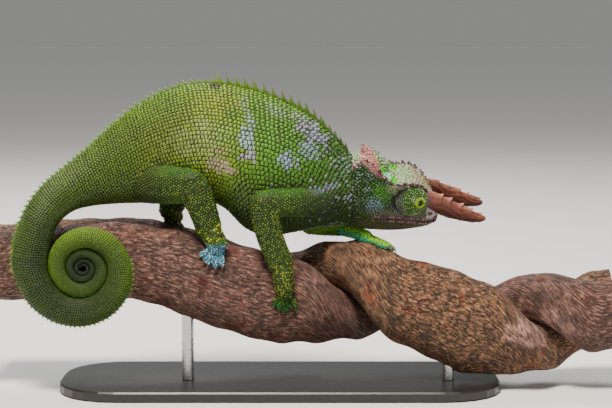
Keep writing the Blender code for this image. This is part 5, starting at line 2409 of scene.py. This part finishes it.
@dataclass
class Claws:
    """The claws of all feet, modelled once and copied to each toe."""

    feet: list[Foot]
    length: float = 2.6
    radius: float = 0.75
    joints: int = 5
    taper: float = 0.72
    curl: float = math.radians(12.0)

    def pattern(self) -> Object:
        """One claw along +X that curls down, drawn out ring by ring from a disc.

        Returns:
            The claw.
        """
        deselect_all()
        bpy.ops.mesh.primitive_circle_add(vertices=10, radius=self.radius * MM, fill_type="NGON",
                                          rotation=(0, math.pi / 2, 0))
        obj = settle(named("claw_pattern"))
        angle, place = 0.0, Vector((0, 0, 0))
        with editing(obj):
            for _ in range(self.joints):
                step = Vector((math.cos(angle), 0, -math.sin(angle))) * self.length / self.joints
                place += step
                bpy.ops.mesh.extrude_region_move(TRANSFORM_OT_translate={"value": step * MM})
                bpy.ops.transform.resize(value=(self.taper,) * 3, center_override=place * MM)
                angle += self.curl
        face_outwards(obj)
        return obj

    def build(self) -> Object:
        """Copy the claw to each toe and join the copies.

        Returns:
            The claws.
        """
        pattern = self.pattern()
        copies = []
        for foot in self.feet:
            for path, way, up in foot.toes:
                ahead = (way - up * 0.15).normalized()
                side = up.cross(ahead).normalized()
                turn = Matrix((ahead, side, ahead.cross(side))).transposed().to_4x4()
                copy = placed("claw", pattern.data.copy())
                copy.data.transform(Matrix.Translation((path[-1] + ahead * 0.9 + up * 0.1) * MM) @ turn)
                copies.append(copy)
        bpy.data.objects.remove(pattern)
        obj = join("claws", copies)
        smooth_shade(obj, 60.0)
        dress(obj, ClawFinish().material())
        return obj


# Perch, stand and studio


@dataclass
class Strand:
    """One woody strand of the liana, with knots, ridges and fissures in its surface."""

    name: str
    phase: float
    finish: BarkFinish
    left: float = -152.0
    right: float = 168.0
    depth: float = 12.4
    gap: float = -0.25
    twists: tuple[tuple[float, float], ...] = ((5.0, 62.0), (100.0, 160.0))
    axis: Rows = (
        (-155.0, 60.5, 10.5, 18.0, 18.0), (-110.0, 64.0, 9.5, 18.0, 18.0), (-80.0, 65.0, 7.5, 18.5, 18.5),
        (-50.0, 59.5, 5.0, 21.0, 20.0), (-20.0, 50.0, 4.0, 22.5, 20.0), (5.0, 45.5, 4.0, 21.5, 20.0),
        (32.0, 48.5, 4.0, 20.0, 21.0), (55.0, 46.3, 4.0, 17.0, 22.0), (78.0, 38.7, 4.0, 14.5, 24.3),
        (98.0, 31.8, 4.0, 14.5, 24.0), (122.0, 31.5, 4.0, 16.0, 20.5), (148.0, 35.0, 4.0, 17.0, 19.5),
        (175.0, 39.5, 5.0, 18.0, 18.5),
    )
    around: int = 112
    along: int = 440
    relief: float = 0.6
    breadth: float = 21.0

    def ring(self, share: float) -> np.ndarray:
        """A section of the strand, with its relief.

        Args:
            share: From 0 at the left end to 1 at the right.

        Returns:
            The points in mm.
        """
        x = self.left + (self.right - self.left) * share
        _, z, y, tall_front, tall_back = spline_at_x(self.axis, x)
        tall = tall_front if self.phase else tall_back
        twist = sum(smoothstep(a, b, x) for a, b in self.twists)
        angle = math.pi * (twist + self.phase)
        out = Vector((0, math.cos(angle), math.sin(angle)))
        across = Vector((0, -math.sin(angle), math.cos(angle)))
        tall *= 1 + 0.025 * math.sin(x * 0.16 + self.phase * 2) + 0.015 * math.sin(x * 0.37 + self.phase)
        centre = Vector((x, y, z)) + out * (self.depth + self.gap)
        points = oval(centre, out * self.depth, across * tall, self.around)
        middle = np.array(centre)
        for k in range(self.around):
            way = points[k] - middle
            turn = 2 * math.pi * k / self.around
            lie = Vector((x * 0.045, math.cos(turn) * 3.2, math.sin(turn) * 3.2 + self.phase * 9))
            ridge = noise.noise(lie) + 0.5 * noise.noise(lie * 2.3)
            knob = noise.noise(Vector(points[k]) * 0.11 + Vector((self.phase * 31, 0, 0)))
            fine = noise.noise(Vector((x * 0.32, math.cos(turn) * 9, math.sin(turn) * 9 + self.phase * 5)))
            inward = self.relief * (0.5 * abs(ridge) + 0.35 * max(0.0, -knob) + 0.3 * abs(fine))
            inward *= 1 - 0.97 * smoothstep(0.35, -0.4, math.cos(turn))
            points[k] -= way / np.linalg.norm(way) * inward
        return points

    def build(self) -> Object:
        """Wrap the strand, ease its sawn ends and dress it.

        Returns:
            The strand.
        """
        obj = wrapped_grid(self.name, self.around, self.along, self.ring)
        with editing(obj, lambda face: len(face.vertices) > 8):
            bpy.ops.mesh.inset(thickness=0.6 * MM, depth=0.25 * MM)
            bpy.ops.mesh.inset(thickness=1.6 * MM, depth=-0.3 * MM)
        smooth_shade(obj, 70.0)
        girth = math.pi * (self.depth + self.breadth)
        dress(obj, self.finish.material(self.right - self.left, girth))
        return obj


class Stand:
    """The plain display stand, which keeps its CAD solids and gets its finishes."""

    def build(self) -> None:
        """Dress the base and the rods."""
        lacquer, steel = LacquerFinish().material(), SatinSteelFinish().material()
        for name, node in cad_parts.items():
            if name.startswith("stand_"):
                dress(node, lacquer if name == "stand_base" else steel)


@dataclass
class Studio:
    """Floor, lights and the camera at the photo's viewing angle."""

    aim: Point = (13.0, 0.0, 92.5)
    distance: float = 850.0
    rise: float = math.radians(6.0)
    lens: float = 100.0
    sensor: float = 36.0
    floor_radius: float = 14.0
    floor_drop: float = 0.0002
    sky: float = 0.45
    lamps: tuple[tuple[str, Point, float, float, str], ...] = (
        ("key", (-0.15, -0.6, 1.25), 0.34, 46.0, "#fff4e6"),
        ("fill", (1.1, -0.9, 0.45), 1.0, 2.5, "#eef4ff"),
        ("rim", (-0.2, 0.8, 1.0), 0.5, 14.0, "#ffffff"),
    )

    def light(self, name: str, place: Point, size: float, watts: float, colour: str) -> None:
        """A soft square lamp at a place in metres, turned to the animal.

        Args:
            name: Its name.
            place: Its place.
            size: Its width in metres.
            watts: Its power.
            colour: Its hex colour.
        """
        lamp = bpy.data.lights.new(name, "AREA")
        lamp.size = size
        lamp.energy = watts
        lamp.color = to_linear(colour)
        obj = placed(name, lamp)
        obj.location = place
        obj.rotation_euler = (Vector(self.aim) * MM - Vector(place)).to_track_quat("-Z", "Y").to_euler()

    def build(self) -> None:
        """Lay the floor, hang the lights and set the camera."""
        deselect_all()
        bpy.ops.mesh.primitive_circle_add(vertices=96, radius=self.floor_radius, fill_type="NGON",
                                          location=(0, 0, -self.floor_drop))
        floor = named("studio_floor")
        dress(floor, FloorFinish().material())
        for lamp in self.lamps:
            self.light(*lamp)
        world = bpy.data.worlds.new("studio_air")
        world.use_nodes = True
        tree = world.node_tree
        way = add_node(tree, "TexCoord").outputs["Generated"]
        up = add_node(tree, "SeparateXYZ", Vector=way).outputs["Z"]
        tone = colour_stops(add_node(tree, "ValToRGB", Fac=up), [(0.02, "#c9c9c7"), (0.4, "#eceded")])
        wire(tree.nodes["Background"], {"Strength": self.sky}, Color=tone)
        bpy.context.scene.world = world
        camera = bpy.data.cameras.new("photo_camera")
        camera.lens = self.lens
        camera.sensor_width = self.sensor
        camera.clip_start = 0.01
        obj = placed("photo_camera", camera)
        look = Vector((0, math.cos(self.rise), -math.sin(self.rise)))
        obj.location = (Vector(self.aim) - look * self.distance) * MM
        obj.rotation_euler = look.to_track_quat("-Z", "Y").to_euler()
        bpy.context.scene.camera = obj


def main() -> None:
    """Build every piece in order and report each one."""
    logging.basicConfig(level=logging.INFO, format="%(message)s")
    Studio().build()
    line, head = TrunkLine(), HeadFrame()
    bark = surface_tree([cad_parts[n] for n in ("perch_front_strand", "perch_back_strand")])
    feet = [Foot(limb, bark) for limb in LIMBS]
    skin = Skin(line, head, feet)
    hand_in(skin.build(), "skin", *flesh_nodes())
    log.info("skin: %d faces", len(skin.obj.data.polygons))
    markings = Markings(line, head)
    coat = ScaleCoat(skin, line, head, markings)
    coat.trunk_rows()
    log.info("trunk rows: %d", len(coat.seeds))
    for limb in LIMBS:
        coat.limb_rows(limb)
    log.info("with legs: %d", len(coat.seeds))
    coat.lips()
    coat.crest_rim()
    coat.fill()
    log.info("with fill: %d", len(coat.seeds))
    for piece in coat.build():
        hand_in(piece, "casque" if piece.name == "head_scales" else "skin")
    paint_skin(skin, coat)
    crest = Crest(line).build()
    dress(crest, ScaleFinish(name="crest_keratin", roughness=0.42).material())
    hand_in(crest, "skin")
    for side in Side:
        turret, granules, ball = Eye(side, head).build()
        hand_in(turret, "eye_turret", f"eye_{side.word}")
        hand_in(granules, "eye_turret")
        hand_in(ball, "eye_turret")
        hand_in(Horn(side, head).build(), "horn", f"horn_{side.word}")
        log.info("eye and horn, %s", side.word)
    hand_in(Claws(feet).build(), "horn")
    smooth_bark = BarkFinish("rubbed_bark", "#1e0e09", "#5a382c", "#b38a7c", "#84401c", 1.8, 4.0, 0.6)
    rough_bark = BarkFinish("corky_bark", "#22140c", "#6e4a31", "#c0946c", "#96602c", 1.7, 2.8, 0.88)
    for name, phase, finish in (("front_strand", 1.0, smooth_bark), ("back_strand", 0.0, rough_bark)):
        hand_in(Strand(name, phase, finish).build(), "bark", f"perch_{name}")
        log.info("%s", name)
    Stand().build()
    deselect_all()


if __name__ == "__main__":
    main()
